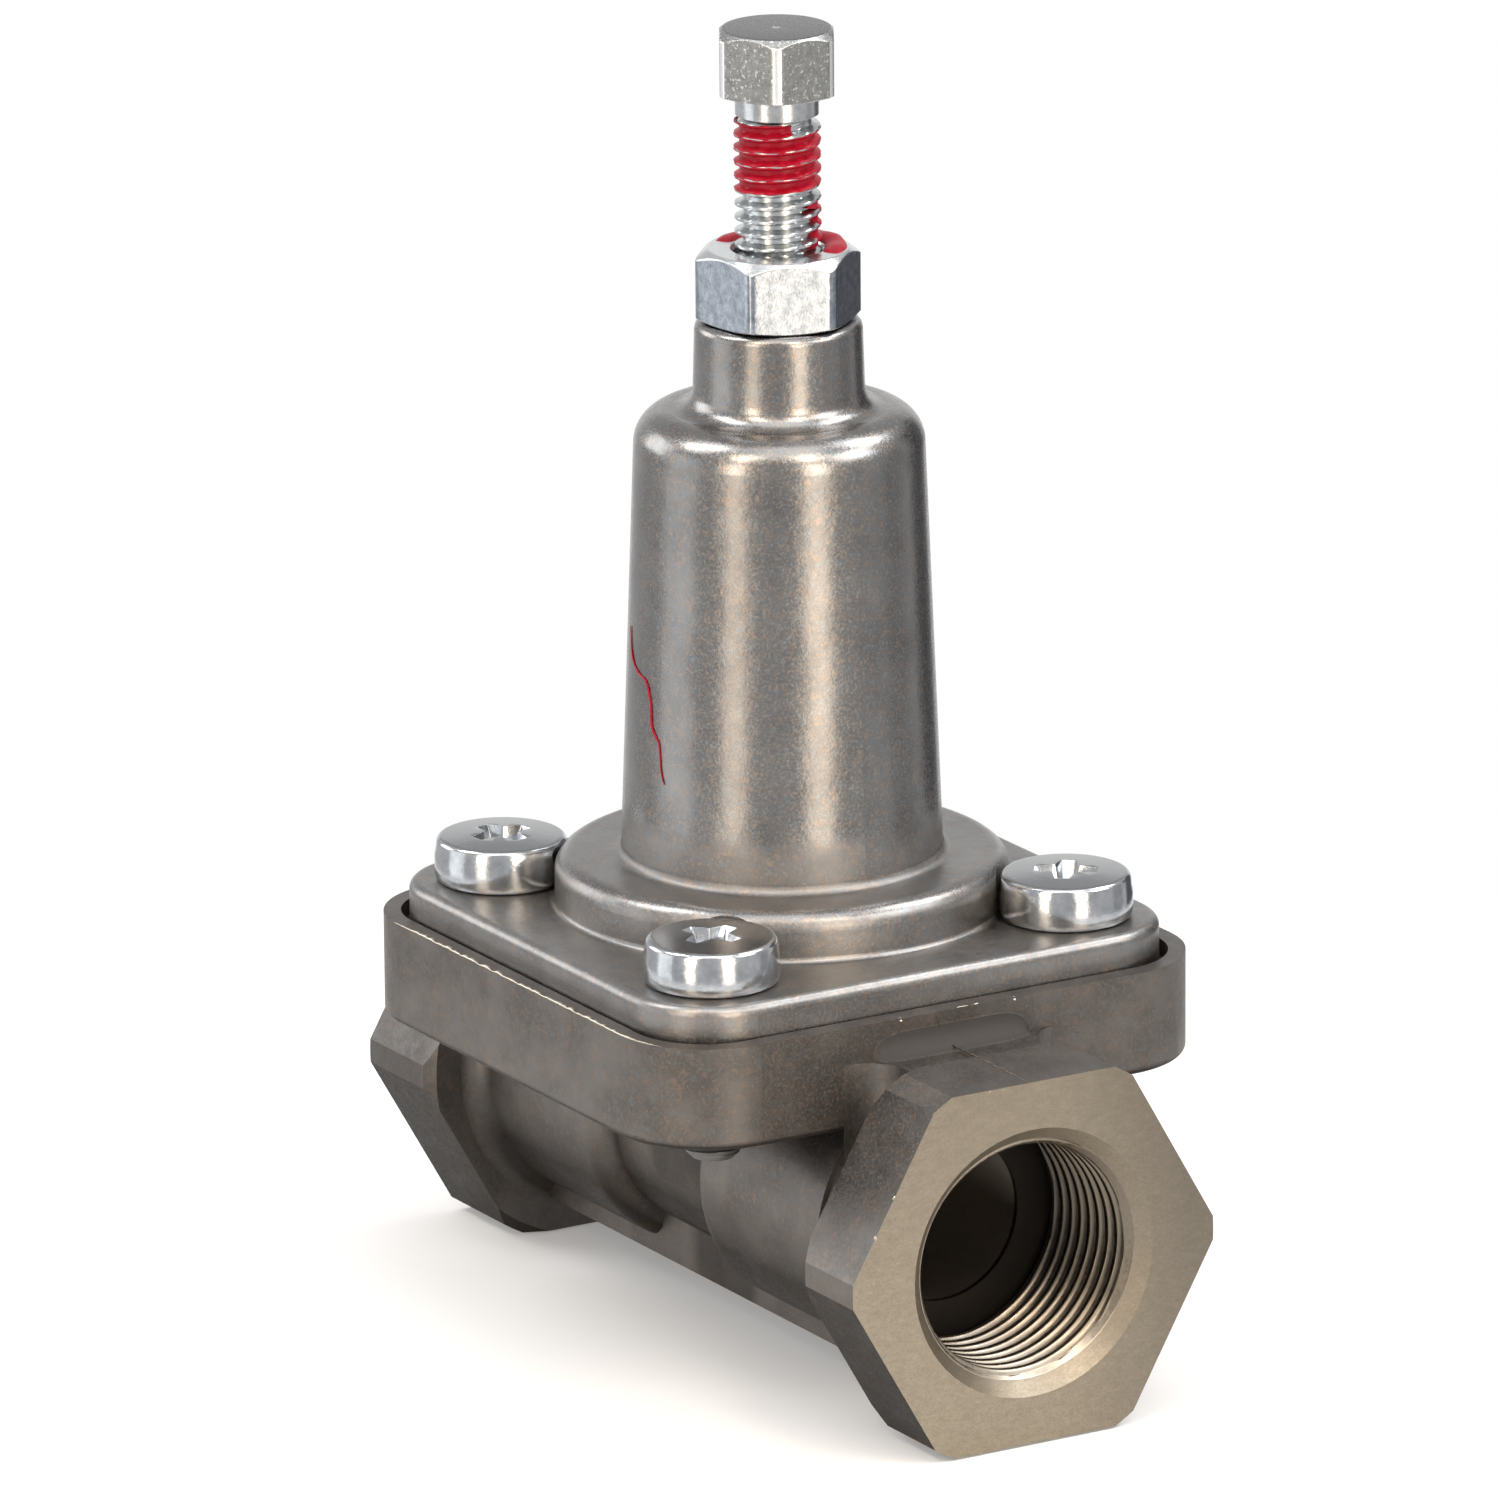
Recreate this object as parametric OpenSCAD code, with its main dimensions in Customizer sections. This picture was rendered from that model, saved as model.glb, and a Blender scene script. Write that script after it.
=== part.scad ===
// Overflow valve for a compressed-air circuit.
// A spring presses a piston and a diaphragm on a seat. Air from the left port lifts the
// diaphragm when it reaches the set pressure and leaves through the seat to the right port.
// A small check valve lets air flow back. The screw on top sets the spring.
// +X runs along the ports to the right port, +Z runs up the cover. The origin is under the
// cover's axis, on the plane of the lower flats of both port hexagons.

/* [Ports] */
// Cover axis to each port face
port_reach = 42.1; // [40:0.1:50]
// Width across the flats of the port hexagons
port_af = 33; // [31:0.5:36]
// How far the corners of the port hexagons are turned off
port_corner_cut = 0.6; // [0.1:0.05:0.8]
// Length of the left port hexagon
left_hex_len = 10.5; // [8:0.1:11]
// Length of the right port hexagon
right_hex_len = 8.9; // [8:0.1:11]
// Chamfer on the inner ends of the port hexagons
hex_chamfer = 0.9; // [0.4:0.1:1.6]
// Nominal thread diameter of the ports
port_thread_d = 22; // [20:0.5:24]
// Length of the threaded wall in each port
port_thread_len = 13.8; // [11:0.1:15]
// Chamfer at the mouth of each port
port_chamfer = 1.2; // [0.5:0.1:1.5]

/* [Barrels] */
// Radius of the left barrel
left_barrel_r = 13; // [12.5:0.1:13.1]
// Radius of the right barrel
right_barrel_r = 13; // [12.5:0.1:13.1]
// Cover axis to the inner end of the left barrel
left_barrel_end = 11; // [8:0.5:13]
// Cover axis to the inner end of the right barrel
right_barrel_end = 5.5; // [4:0.5:8]
// Rounding of the barrels' inner ends
barrel_edge_r = 2.2; // [1:0.1:2.5]
// Radius of the waist between the barrels
waist_r = 10.8; // [10.2:0.1:12]
// Length of the relieved neck behind the right hexagon
neck_relief_len = 6.1; // [5:0.1:8]
// Depth of that relief
neck_relief = 0.4; // [0.1:0.1:0.8]
// Fillet between the left barrel and its hexagon
barrel_fillet = 2; // [0.5:0.1:2.2]
// Width of the keel under the barrels
keel_w = 12; // [9:0.5:15]
// Height of the keel above the lower flats
keel_lift = 3.3; // [3:0.1:3.3]
// Width of the bridge from each hexagon to the flange
bridge_w = 14; // [12:0.5:19]
// How far the bridge's top lies below the hexagon's flat
bridge_drop = 0.3; // [0.2:0.1:1]
// Fillet between the bridge's sides and the flange
bridge_side_r = 4; // [1:0.5:4.5]
// Fillet between the bridge's top and the flange
bridge_top_r = 1.5; // [0.5:0.1:2]

/* [Flange] */
// Side of the square flange
flange_w = 56.8; // [54:0.2:62]
// Corner radius of the flange
flange_corner_r = 9.1; // [7:0.1:11]
// Height of the flange, rim included
flange_h = 9.4; // [9:0.1:12]
// Port axis to the top of the rim
rim_rise = 19.5; // [19:0.1:21]
// Rounding of the flange's lower edge
flange_edge_r = 0.8; // [0.3:0.1:1.5]
// Depth of the recess that locates the cover
recess_depth = 1.5; // [1:0.1:2]

/* [Cover plate] */
// Side of the square cover plate
cover_w = 52.8; // [51:0.2:53]
// Corner radius of the cover plate
cover_corner_r = 8; // [6.5:0.1:10]
// Thickness of the cover plate
cover_t = 4.5; // [4:0.1:6]
// Rounding of the plate's upper edge
cover_edge_r = 0.9; // [0.3:0.1:1.5]
// Gap between the plate and the recess wall
cover_gap = 0.25; // [0.1:0.05:0.4]
// Smaller corner radius of the recess, which leaves a gap at the corners
recess_corner_less = 1.2; // [0.2:0.1:2]
// Distance between neighbouring cover screws
screw_spacing = 36.4; // [35.6:0.2:38]

/* [Spring dome] */
// Radius of the raised ring on the plate
ring_r = 20.2; // [19:0.1:20.4]
// Height of the raised ring
ring_h = 4.45; // [3.5:0.05:6]
// Rounding of the ring's upper edge
ring_edge_r = 1.7; // [0.5:0.1:2.5]
// Radius of the dome where it leaves the ring
dome_r_base = 14.3; // [13.8:0.1:15]
// Radius of the dome at its shoulder
dome_r_top = 12.75; // [12.7:0.05:13.5]
// Height of the dome above the ring
dome_h = 40.6; // [38:0.1:46]
// Rounding of the dome's shoulder
dome_shoulder_r = 3.2; // [1.5:0.1:3.8]
// Wall of the dome
dome_wall = 2.3; // [1.8:0.1:2.5]
// Radius of the neck at its foot
neck_r_base = 7.65; // [7.3:0.05:8]
// Radius of the neck at its top
neck_r_top = 7.4; // [6.8:0.05:7.6]
// Height of the neck
neck_h = 8; // [6:0.1:10]
// Rounding of the neck's top edge
neck_edge_r = 0.8; // [0.3:0.1:1.2]
// Fillet at the foot of the dome and of the neck
dome_fillet = 0.8; // [0.3:0.1:1.2]
// Roof thickness between the spring chamber and the shoulder
roof_t = 2.5; // [2:0.1:3.5]

/* [Adjusting screw and lock nut] */
// Nominal diameter of the adjusting screw
adjust_d = 8; // [7:0.5:9]
// Width across the flats of the adjusting screw's head
adjust_af = 10; // [9:0.5:12]
// Height of that head
adjust_head_h = 5.6; // [4:0.1:7]
// Length of thread that shows between the nut and the head
adjust_exposed = 14.2; // [12:0.1:16]
// Length of the plain undercut below the head
adjust_undercut = 2; // [1:0.1:3]
// Depth of that undercut
adjust_undercut_depth = 0.3; // [0.2:0.05:0.7]
// Direction of a corner of that head, from +X
adjust_head_turn = -30.5; // [-60:0.5:60]
// Length of the dog point at the screw's tip
dog_len = 2.2; // [1.5:0.1:2.5]
// Width across the flats of the lock nut
nut_af = 13; // [12.5:0.5:14]
// Height of the lock nut
nut_h = 6.5; // [5:0.1:8]
// Direction of a corner of the lock nut, from +X
nut_turn = 9.5; // [-60:0.5:60]

/* [Cover screws] */
// Nominal diameter of the cover screws
screw_d = 6; // [5:0.5:6.5]
// Length of the cover screws under the head
screw_len = 16; // [14:0.5:20]
// Diameter of their heads
screw_head_d = 12; // [10:0.5:12.5]
// Height of their heads
screw_head_h = 4.3; // [3.5:0.1:5]
// Extra diameter of the screw holes in the cover
screw_hole_play = 0.6; // [0.2:0.1:0.8]
// Clearance of the spot faces round the screw heads, on the radius
screw_spot_play = 0.15; // [0.1:0.05:0.3]

/* [Spring set] */
// Wire of the main spring
spring_wire = 3; // [2:0.1:3.2]
// Mean radius of the main spring
spring_r = 8.3; // [7.8:0.1:8.4]
// Active turns of the main spring
spring_turns = 6; // [4:1:7]
// Thickness of the upper spring seat's plate
seat_plate_t = 2.5; // [2:0.1:3.5]
// Clearance of that plate in the spring chamber
seat_plate_play = 0.35; // [0.2:0.05:0.6]
// Depth of the spigot under that plate, which centres the spring
seat_spigot_h = 5.2; // [4.8:0.1:7]
// Height of the spigot on the piston
spigot_h = 3; // [2:0.1:4]
// Clearance of those spigots in the spring
spigot_play = 0.4; // [0.2:0.05:0.8]
// Room over the upper spring seat when the screw is as set
seat_headroom = 5; // [4.2:0.1:6]
// Radius of the thrust ball between the screw's tip and the seat
ball_r = 2; // [1.5:0.1:2.2]

/* [Piston and diaphragm] */
// Radius of the piston's bore in the cover
piston_bore_r = 16; // [15.5:0.1:16.4]
// Running clearance of the piston on its radius
piston_play = 0.1; // [0.05:0.01:0.1]
// Radius of the piston's foot on the diaphragm
piston_foot_r = 12; // [11:0.1:12.4]
// Height of the piston's foot
piston_foot_h = 1.4; // [1.3:0.1:1.8]
// Height of the piston's guide rim
piston_rim_h = 2.6; // [2.4:0.1:3]
// Height of the guide ring in that rim
guide_ring_h = 1.2; // [0.8:0.1:1.4]
// Width of the guide ring
guide_ring_w = 0.9; // [0.6:0.1:1.4]
// Running clearance of the guide ring on its radius
guide_ring_play = 0.05; // [0.02:0.01:0.08]
// Thickness of the pressure plate between the diaphragm and the piston
pressure_plate_t = 1; // [0.8:0.1:1.2]
// Lift of the piston
piston_lift = 1.6; // [1:0.1:1.8]
// Thickness of the diaphragm
diaphragm_t = 1.4; // [1:0.1:1.5]
// Radius of the diaphragm's rim bead, outside
bead_r = 19; // [18.6:0.1:19.6]
// Width of that bead
bead_w = 2; // [1.5:0.1:2.4]
// Depth of the bead below the diaphragm
bead_depth = 1.4; // [0.8:0.1:2]
// Mean radius of the diaphragm's convolution
convolution_r = 14.2; // [13.9:0.1:14.3]
// Height of the convolution above the diaphragm
convolution_h = 1.1; // [0.6:0.1:1.3]

/* [Seat and passages] */
// Radius of the seat bore
seat_bore_r = 6; // [5:0.1:6.2]
// Wall of the seat ring
seat_wall = 2; // [1.5:0.1:2.2]
// Height of the seat ring
seat_ring_h = 5; // [4:0.1:5.5]
// Section diameter of the sealing ring in the seat ring's groove
seat_seal_d = 1.3; // [1:0.1:1.4]
// Height of the seat's lip above the centre boss
seat_lip_h = 1.4; // [1:0.1:2]
// Radius of the centre boss round the seat ring
centre_boss_r = 9.6; // [9.2:0.1:10.2]
// Outer radius of the air chamber under the diaphragm
chamber_r = 15.6; // [15:0.1:16]
// Depth of that chamber under the diaphragm
chamber_depth = 3.6; // [3:0.1:4]
// Radius of the passages between the ports and the middle
passage_r = 7.6; // [7:0.1:8]
// Radius of the hole that feeds the chamber
feed_r = 2.9; // [2:0.1:3]
// Cover axis to the feed hole
feed_x = 12.65; // [12.5:0.05:12.7]

/* [Return-flow check valve] */
// Radius of the check valve's hole
check_hole_r = 3.2; // [2.5:0.1:3.6]
// Wall between the seat bore and the check plate
check_wall = 3; // [2.5:0.1:3.6]
// Radius of the check plate
check_plate_r = 5.2; // [4.8:0.1:5.6]
// Thickness of the check plate
check_plate_t = 1.6; // [1.2:0.1:2]
// Thickness of its rubber face
check_seal_t = 1; // [0.8:0.1:1.4]
// Radius of the guide pin through the plate
check_pin_r = 1.4; // [1.1:0.1:1.6]
// Radius of the guide pin's head
check_pin_head_r = 2.2; // [2:0.1:2.3]
// Running clearance of the pin in its retainer, and of the plate's lugs in the passage
check_guide_play = 0.1; // [0.05:0.01:0.1]
// Travel of the check plate
check_travel = 2; // [1.5:0.1:2.4]
// Length of the check spring
check_spring_len = 6.4; // [5.6:0.1:7]
// Wire of the check spring
check_wire = 0.6; // [0.4:0.05:0.8]
// Mean radius of the check spring
check_spring_r = 3.4; // [3:0.1:3.8]
// Turns of the check spring
check_turns = 5; // [3:1:6]
// Thickness of the perforated retainer
retainer_t = 1.2; // [1:0.1:1.6]
// Shoulder that the retainer stands on
retainer_step = 1; // [0.8:0.1:1.2]
// Thickness of the snap ring
snap_t = 1; // [0.8:0.1:1.2]
// Depth of the snap ring's groove
snap_depth = 0.7; // [0.5:0.1:0.9]
// Play of the snap ring in its groove
snap_play = 0.1; // [0.05:0.01:0.15]

/* [Fits] */
// Running clearance of threads and bores, on the radius
thread_play = 0.08; // [0.05:0.01:0.1]
// Gap between parts that only lie beside each other
side_gap = 0.1; // [0.05:0.01:0.2]

/* [Hidden] */
$fn = 72;
eps = 0.01;

// Heights along the cover's axis
axis_z = port_af / 2;
rim_z = axis_z + rim_rise;
flange_z = rim_z - flange_h;
recess_z = rim_z - recess_depth;
plate_z = recess_z + cover_t;
ring_z = plate_z + ring_h;
dome_z = ring_z + dome_h;
neck_z = dome_z + neck_h;
nut_z = neck_z + nut_h;
head_z = nut_z + adjust_exposed;
head_top_z = head_z + adjust_head_h;
chamber_top_z = dome_z - roof_t;

// Diaphragm, piston and spring stack
web_z = recess_z - diaphragm_t;
piston_z = recess_z + pressure_plate_t;
piston_rim_z = piston_z + piston_foot_h;
piston_top_z = piston_rim_z + piston_rim_h;
piston_roof_z = piston_top_z + piston_lift + side_gap;
piston_r = piston_bore_r - piston_play;
guide_ring_r = piston_bore_r - guide_ring_play;
guide_ring_z = (piston_rim_z + piston_top_z - guide_ring_h) / 2;
seat_top_z = chamber_top_z - seat_headroom;
seat_under_z = seat_top_z - seat_plate_t;
tip_z = seat_top_z - dog_len;
ball_z = tip_z - ball_r - eps;
pocket_z = ball_z - ball_r - eps;
spring_len = seat_under_z - piston_top_z;
spigot_r = spring_r - spring_wire / 2 - spigot_play;
chamber_wall_base = dome_r_base - dome_wall;
chamber_wall_top = dome_r_top - dome_wall;
seat_plate_r = chamber_wall_top - seat_plate_play;
dog_r = adjust_d / 2 - 1.0;

// Recess, seat ring and chamber
recess_half = cover_w / 2 + cover_gap;
recess_corner_r = cover_corner_r - recess_corner_less;
seat_ring_r = seat_bore_r + seat_wall;
seat_ring_z = web_z - seat_ring_h;
seat_seal_z = seat_ring_z + 1.7;
boss_z = web_z - seat_lip_h;
chamber_floor_z = web_z - chamber_depth;

// Ports and passages, as distances along X from the cover's axis
thread_end = port_reach - port_chamfer - port_thread_len;
left_hex_in = port_reach - left_hex_len;
right_hex_in = port_reach - right_hex_len;
port_thread_r = port_thread_d / 2;

// Check valve, as distances to the left of the cover's axis
check_face = seat_bore_r + check_wall;
check_plate_x = check_face + check_seal_t;
check_back = check_plate_x + check_plate_t;
retainer_x = check_back + check_spring_len;
snap_x = retainer_x + retainer_t;
retainer_bore_r = passage_r + retainer_step;

// A plate outline with exact round corners
module rounded_square(half, r) {
    square([2 * half, 2 * (half - r)], center = true);
    square([2 * (half - r), 2 * half], center = true);
    for (sx = [-1, 1], sy = [-1, 1])
        translate([sx * (half - r), sy * (half - r)]) circle(r);
}

// Fills the inside corner at the origin with a fillet towards +X and +Y
module inside_fillet(r) {
    difference() {
        square(r);
        translate([r, r]) circle(r);
    }
}

// What an outside rounding takes off a corner at the origin, for a solid towards -X and -Y
module outside_rounding(r) {
    translate([-r, -r]) difference() {
        square(r + 1);
        circle(r);
    }
}

// Cross-section of a slab with one pair of long edges rounded, lower edge at y = 0
module edge_profile(half, h, edge_r) {
    difference() {
        translate([-half, 0]) square([2 * half, h]);
        for (s = [0, 1]) mirror([s, 0]) translate([half, h]) outside_rounding(edge_r);
    }
}

// A square plate with round corners whose upper edge is rounded all the way round
module soft_plate(half, corner_r, h, edge_r) {
    inner = half - corner_r;
    for (a = [0, 90]) rotate(a) rotate([90, 0, 0])
        linear_extrude(2 * inner, center = true) edge_profile(half, h, edge_r);
    for (sx = [-1, 1], sy = [-1, 1])
        translate([sx * inner, sy * inner, 0]) rotate_extrude() intersection() {
            edge_profile(corner_r, h, edge_r);
            square([corner_r, h]);
        }
}

// Places children along X, their own Z axis pointing out of the port on that side
module on_port_axis(side) {
    translate([0, 0, axis_z]) rotate([0, 90 * side, 0]) children();
}

module at_screws() {
    for (sx = [-1, 1], sy = [-1, 1])
        translate([sx * screw_spacing / 2, sy * screw_spacing / 2, 0]) children();
}

// A hexagon prism whose corners are turned off at the ends that are asked for
module turned_hexagon(af, h, low, high, depth) {
    corner = af / 2 / cos(30);
    intersection() {
        cylinder(r = corner, h = h, $fn = 6);
        rotate_extrude() polygon([
            [0, 0], [low ? af / 2 * 0.96 : corner + 1, 0], [corner + 1, low ? depth : 0],
            [corner + 1, high ? h - depth : h], [high ? af / 2 * 0.96 : corner + 1, h], [0, h]
        ]);
    }
}

// A coil spring standing on z = 0, with its ends inside the stated length
module coil(mean_r, wire, len, turns) {
    steps = 20;
    sides = 8;
    rise = len - wire;
    n = turns * steps;
    pts = [
        for (i = [0:n], j = [0:sides - 1])
            let (
                a = 360 * i / steps,
                b = 360 * j / sides,
                r = mean_r + wire / 2 * cos(b),
                z = wire / 2 + rise * i / n + wire / 2 * sin(b)
            )
            [r * cos(a), r * sin(a), z]
    ];
    faces = concat(
        [[for (j = [0:sides - 1]) j]],
        [for (i = [0:n - 1], j = [0:sides - 1])
            [i * sides + j, (i + 1) * sides + j,
             (i + 1) * sides + (j + 1) % sides, i * sides + (j + 1) % sides]],
        [[for (j = [sides - 1:-1:0]) n * sides + j]]
    );
    polyhedron(points = pts, faces = faces, convexity = 10);
}

// Port hexagon with turned corners and a chamfer on its inner end, seen along the port's axis
module port_hexagon(inner, len) {
    corner = port_af / 2 / cos(30);
    turned = corner - port_corner_cut;
    translate([0, 0, inner]) intersection() {
        linear_extrude(len) rotate(90) circle(corner, $fn = 6);
        rotate_extrude() polygon([
            [0, 0], [turned - hex_chamfer, 0], [turned, hex_chamfer], [turned, len], [0, len]
        ]);
    }
}

module barrel(r, from, to) {
    translate([0, 0, from]) rotate_extrude() difference() {
        square([r, to - from]);
        translate([r, 0]) mirror([0, 1]) outside_rounding(barrel_edge_r);
    }
}

module port_end_left() {
    on_port_axis(-1) {
        port_hexagon(left_hex_in, left_hex_len);
        barrel(left_barrel_r, left_barrel_end, left_hex_in + 1);
        translate([0, 0, left_hex_in]) rotate_extrude()
            translate([left_barrel_r, 0]) mirror([0, 1]) inside_fillet(barrel_fillet);
    }
}

module port_end_right() {
    relief_from = right_hex_in - neck_relief_len;
    on_port_axis(1) {
        port_hexagon(right_hex_in, right_hex_len);
        barrel(right_barrel_r, right_barrel_end, relief_from);
        translate([0, 0, relief_from - 1])
            cylinder(r = right_barrel_r - neck_relief, h = neck_relief_len + 2);
    }
}

// Web that ties the top flat of a hexagon to the flange, with fillets on the flange's side
module bridge(side, hex_in) {
    flange_side = flange_w / 2;
    reach = hex_in + hex_chamfer + 0.5;
    height = port_af / 2 - bridge_drop;
    mirror([side < 0 ? 1 : 0, 0, 0]) {
        translate([0, 0, axis_z]) linear_extrude(height) {
            translate([flange_side - 2, -bridge_w / 2]) square([reach - flange_side + 2, bridge_w]);
            for (s = [0, 1]) mirror([0, s])
                translate([flange_side, bridge_w / 2]) inside_fillet(bridge_side_r);
        }
        translate([flange_side, bridge_w / 2, axis_z + height]) rotate([90, 0, 0])
            linear_extrude(bridge_w) inside_fillet(bridge_top_r);
    }
}

module keel() {
    translate([-left_hex_in - 1, -keel_w / 2, keel_lift])
        cube([left_hex_in + right_hex_in + 2, keel_w, axis_z - keel_lift]);
}

module flange() {
    half = flange_w / 2;
    translate([0, 0, rim_z]) mirror([0, 0, 1])
        soft_plate(half, flange_corner_r, flange_h, flange_edge_r);
}

module port_bore(side) {
    on_port_axis(side) {
        translate([0, 0, port_reach - port_chamfer])
            cylinder(r1 = port_thread_r, r2 = port_thread_r + port_chamfer + eps, h = port_chamfer + eps);
        translate([0, 0, thread_end]) cylinder(r = port_thread_r, h = port_reach - thread_end);
    }
}

module body_passages() {
    port_bore(-1);
    port_bore(1);
    // Right port to the seat bore
    on_port_axis(1) cylinder(r = passage_r, h = thread_end + 1);
    // Left port to the check valve, stepped for the retainer and grooved for the snap ring
    on_port_axis(-1) {
        translate([0, 0, check_face]) cylinder(r = passage_r, h = retainer_x - check_face + 1);
        translate([0, 0, retainer_x]) cylinder(r = retainer_bore_r, h = thread_end + 1 - retainer_x);
        translate([0, 0, snap_x]) cylinder(r = retainer_bore_r + snap_depth, h = snap_t + 2 * snap_play);
        cylinder(r = check_hole_r, h = check_face + 1);
    }
    // Seat bore, and the wider bore that holds the seat ring
    translate([0, 0, axis_z]) cylinder(r = seat_bore_r, h = web_z - axis_z + 1);
    translate([0, 0, seat_ring_z]) cylinder(r = seat_ring_r, h = seat_ring_h + 1);
    // Feed hole from the left passage up to the chamber
    translate([-feed_x, 0, axis_z]) cylinder(r = feed_r, h = chamber_floor_z - axis_z + 1);
}

module body_top_cuts() {
    // Recess for the cover
    translate([0, 0, recess_z]) linear_extrude(recess_depth + 1)
        rounded_square(recess_half, recess_corner_r);
    // Floor under the diaphragm, chamber round the centre boss, groove for the rim bead
    translate([0, 0, web_z]) cylinder(r = bead_r + side_gap, h = diaphragm_t + 1);
    translate([0, 0, boss_z]) cylinder(r = centre_boss_r + eps, h = diaphragm_t + 2);
    difference() {
        translate([0, 0, chamber_floor_z]) cylinder(r = chamber_r, h = chamber_depth + 1);
        translate([0, 0, chamber_floor_z - 1]) cylinder(r = centre_boss_r, h = chamber_depth + 3);
    }
    difference() {
        translate([0, 0, web_z - bead_depth - side_gap])
            cylinder(r = bead_r + side_gap, h = bead_depth + 1);
        translate([0, 0, web_z - bead_depth - 1])
            cylinder(r = bead_r - bead_w - side_gap, h = bead_depth + 3);
    }
    // Tapped holes of the cover screws
    at_screws() translate([0, 0, flange_z - 1])
        cylinder(r = screw_d / 2 + thread_play, h = flange_h + 2);
}

module valve_body() {
    color([0.52, 0.50, 0.47]) difference() {
        union() {
            flange();
            port_end_left();
            port_end_right();
            on_port_axis(1) translate([0, 0, -left_barrel_end - 1])
                cylinder(r = waist_r, h = left_barrel_end + right_barrel_end + 2);
            translate([0, 0, axis_z]) cylinder(r = waist_r, h = flange_z - axis_z + 1);
            keel();
            bridge(-1, left_hex_in);
            bridge(1, right_hex_in);
        }
        body_passages();
        body_top_cuts();
    }
}

// Outline of the ring, the dome and the neck, right of the axis
module cover_outline() {
    shoulder_x = dome_r_top + (dome_r_base - dome_r_top) * dome_shoulder_r / dome_h;
    difference() {
        union() {
            translate([0, plate_z - 1]) square([ring_r, ring_h + 1]);
            translate([ring_r, plate_z]) inside_fillet(0.5);
            polygon([[0, ring_z - 1], [dome_r_base, ring_z - 1], [dome_r_base, ring_z],
                [dome_r_top, dome_z], [0, dome_z]]);
            translate([dome_r_base, ring_z]) inside_fillet(dome_fillet);
            polygon([[0, dome_z - 1], [neck_r_base, dome_z - 1], [neck_r_base, dome_z],
                [neck_r_top, neck_z], [0, neck_z]]);
            translate([neck_r_base, dome_z]) inside_fillet(dome_fillet);
        }
        translate([ring_r, ring_z]) outside_rounding(ring_edge_r);
        translate([shoulder_x, dome_z]) outside_rounding(dome_shoulder_r);
        translate([neck_r_top, neck_z]) outside_rounding(neck_edge_r);
    }
}

// Hollow of the cover: piston bore, tapered spring chamber and screw thread
module cover_hollow() {
    rotate_extrude() polygon([
        [0, recess_z - 1], [piston_bore_r, recess_z - 1], [piston_bore_r, piston_roof_z],
        [chamber_wall_base, piston_roof_z], [chamber_wall_top, chamber_top_z], [0, chamber_top_z]
    ]);
    translate([0, 0, chamber_top_z - 1])
        cylinder(r = adjust_d / 2 + thread_play, h = neck_z - chamber_top_z + 2);
}

module cover() {
    color([0.60, 0.57, 0.53]) difference() {
        union() {
            translate([0, 0, recess_z]) soft_plate(cover_w / 2, cover_corner_r, cover_t, cover_edge_r);
            rotate_extrude() cover_outline();
        }
        cover_hollow();
        at_screws() {
            translate([0, 0, recess_z - 1])
                cylinder(r = (screw_d + screw_hole_play) / 2, h = cover_t + 2);
            // Spot face, which cuts into the raised ring beside the head
            translate([0, 0, plate_z])
                cylinder(r = screw_head_d / 2 + screw_spot_play, h = ring_h + 1);
        }
    }
}

// Pan head with a rounded rim and a slightly domed top
module pan_screw() {
    head_r = screw_head_d / 2;
    edge_r = screw_head_h * 0.42;
    crown = 0.35;
    rotate_extrude() {
        difference() {
            square([head_r, screw_head_h - crown]);
            translate([head_r, screw_head_h - crown]) outside_rounding(edge_r);
        }
        polygon([[0, screw_head_h - crown], [head_r - edge_r, screw_head_h - crown],
            [(head_r - edge_r) / 2, screw_head_h - crown * 0.25], [0, screw_head_h]]);
        polygon([[0, eps], [screw_d / 2, eps], [screw_d / 2, 1 - screw_len],
            [screw_d / 2 - 1, -screw_len], [0, -screw_len]]);
    }
}

module cover_screws() {
    color([0.80, 0.81, 0.82]) at_screws() translate([0, 0, plate_z]) pan_screw();
}

module adjusting_screw() {
    r = adjust_d / 2;
    color([0.72, 0.73, 0.73]) {
        translate([0, 0, head_z]) rotate(adjust_head_turn)
            turned_hexagon(adjust_af, adjust_head_h, false, true, 0.5);
        rotate_extrude() polygon([
            [0, tip_z], [dog_r, tip_z], [dog_r, tip_z + dog_len], [r, tip_z + dog_len + r - dog_r],
            [r, head_z - adjust_undercut], [r - adjust_undercut_depth, head_z - adjust_undercut + 0.3],
            [r - adjust_undercut_depth, head_z + eps], [0, head_z + eps]
        ]);
    }
}

module lock_nut() {
    color([0.78, 0.80, 0.82]) translate([0, 0, neck_z]) difference() {
        rotate(nut_turn) turned_hexagon(nut_af, nut_h, true, true, 0.9);
        translate([0, 0, -1]) cylinder(r = adjust_d / 2 + thread_play, h = nut_h + 2);
    }
}

module upper_spring_seat() {
    color([0.62, 0.60, 0.50]) difference() {
        rotate_extrude() polygon([
            [0, seat_under_z - seat_spigot_h], [spigot_r - 0.6, seat_under_z - seat_spigot_h],
            [spigot_r, seat_under_z - seat_spigot_h + 0.6], [spigot_r, seat_under_z],
            [seat_plate_r, seat_under_z], [seat_plate_r, seat_top_z], [0, seat_top_z]
        ]);
        translate([0, 0, pocket_z]) cylinder(r = dog_r + thread_play, h = seat_top_z - pocket_z + 1);
    }
}

module thrust_ball() {
    color([0.75, 0.76, 0.78]) translate([0, 0, ball_z]) sphere(ball_r, $fn = 40);
}

module pressure_spring() {
    color([0.42, 0.44, 0.46]) translate([0, 0, piston_top_z])
        coil(spring_r, spring_wire, spring_len, spring_turns);
}

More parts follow.
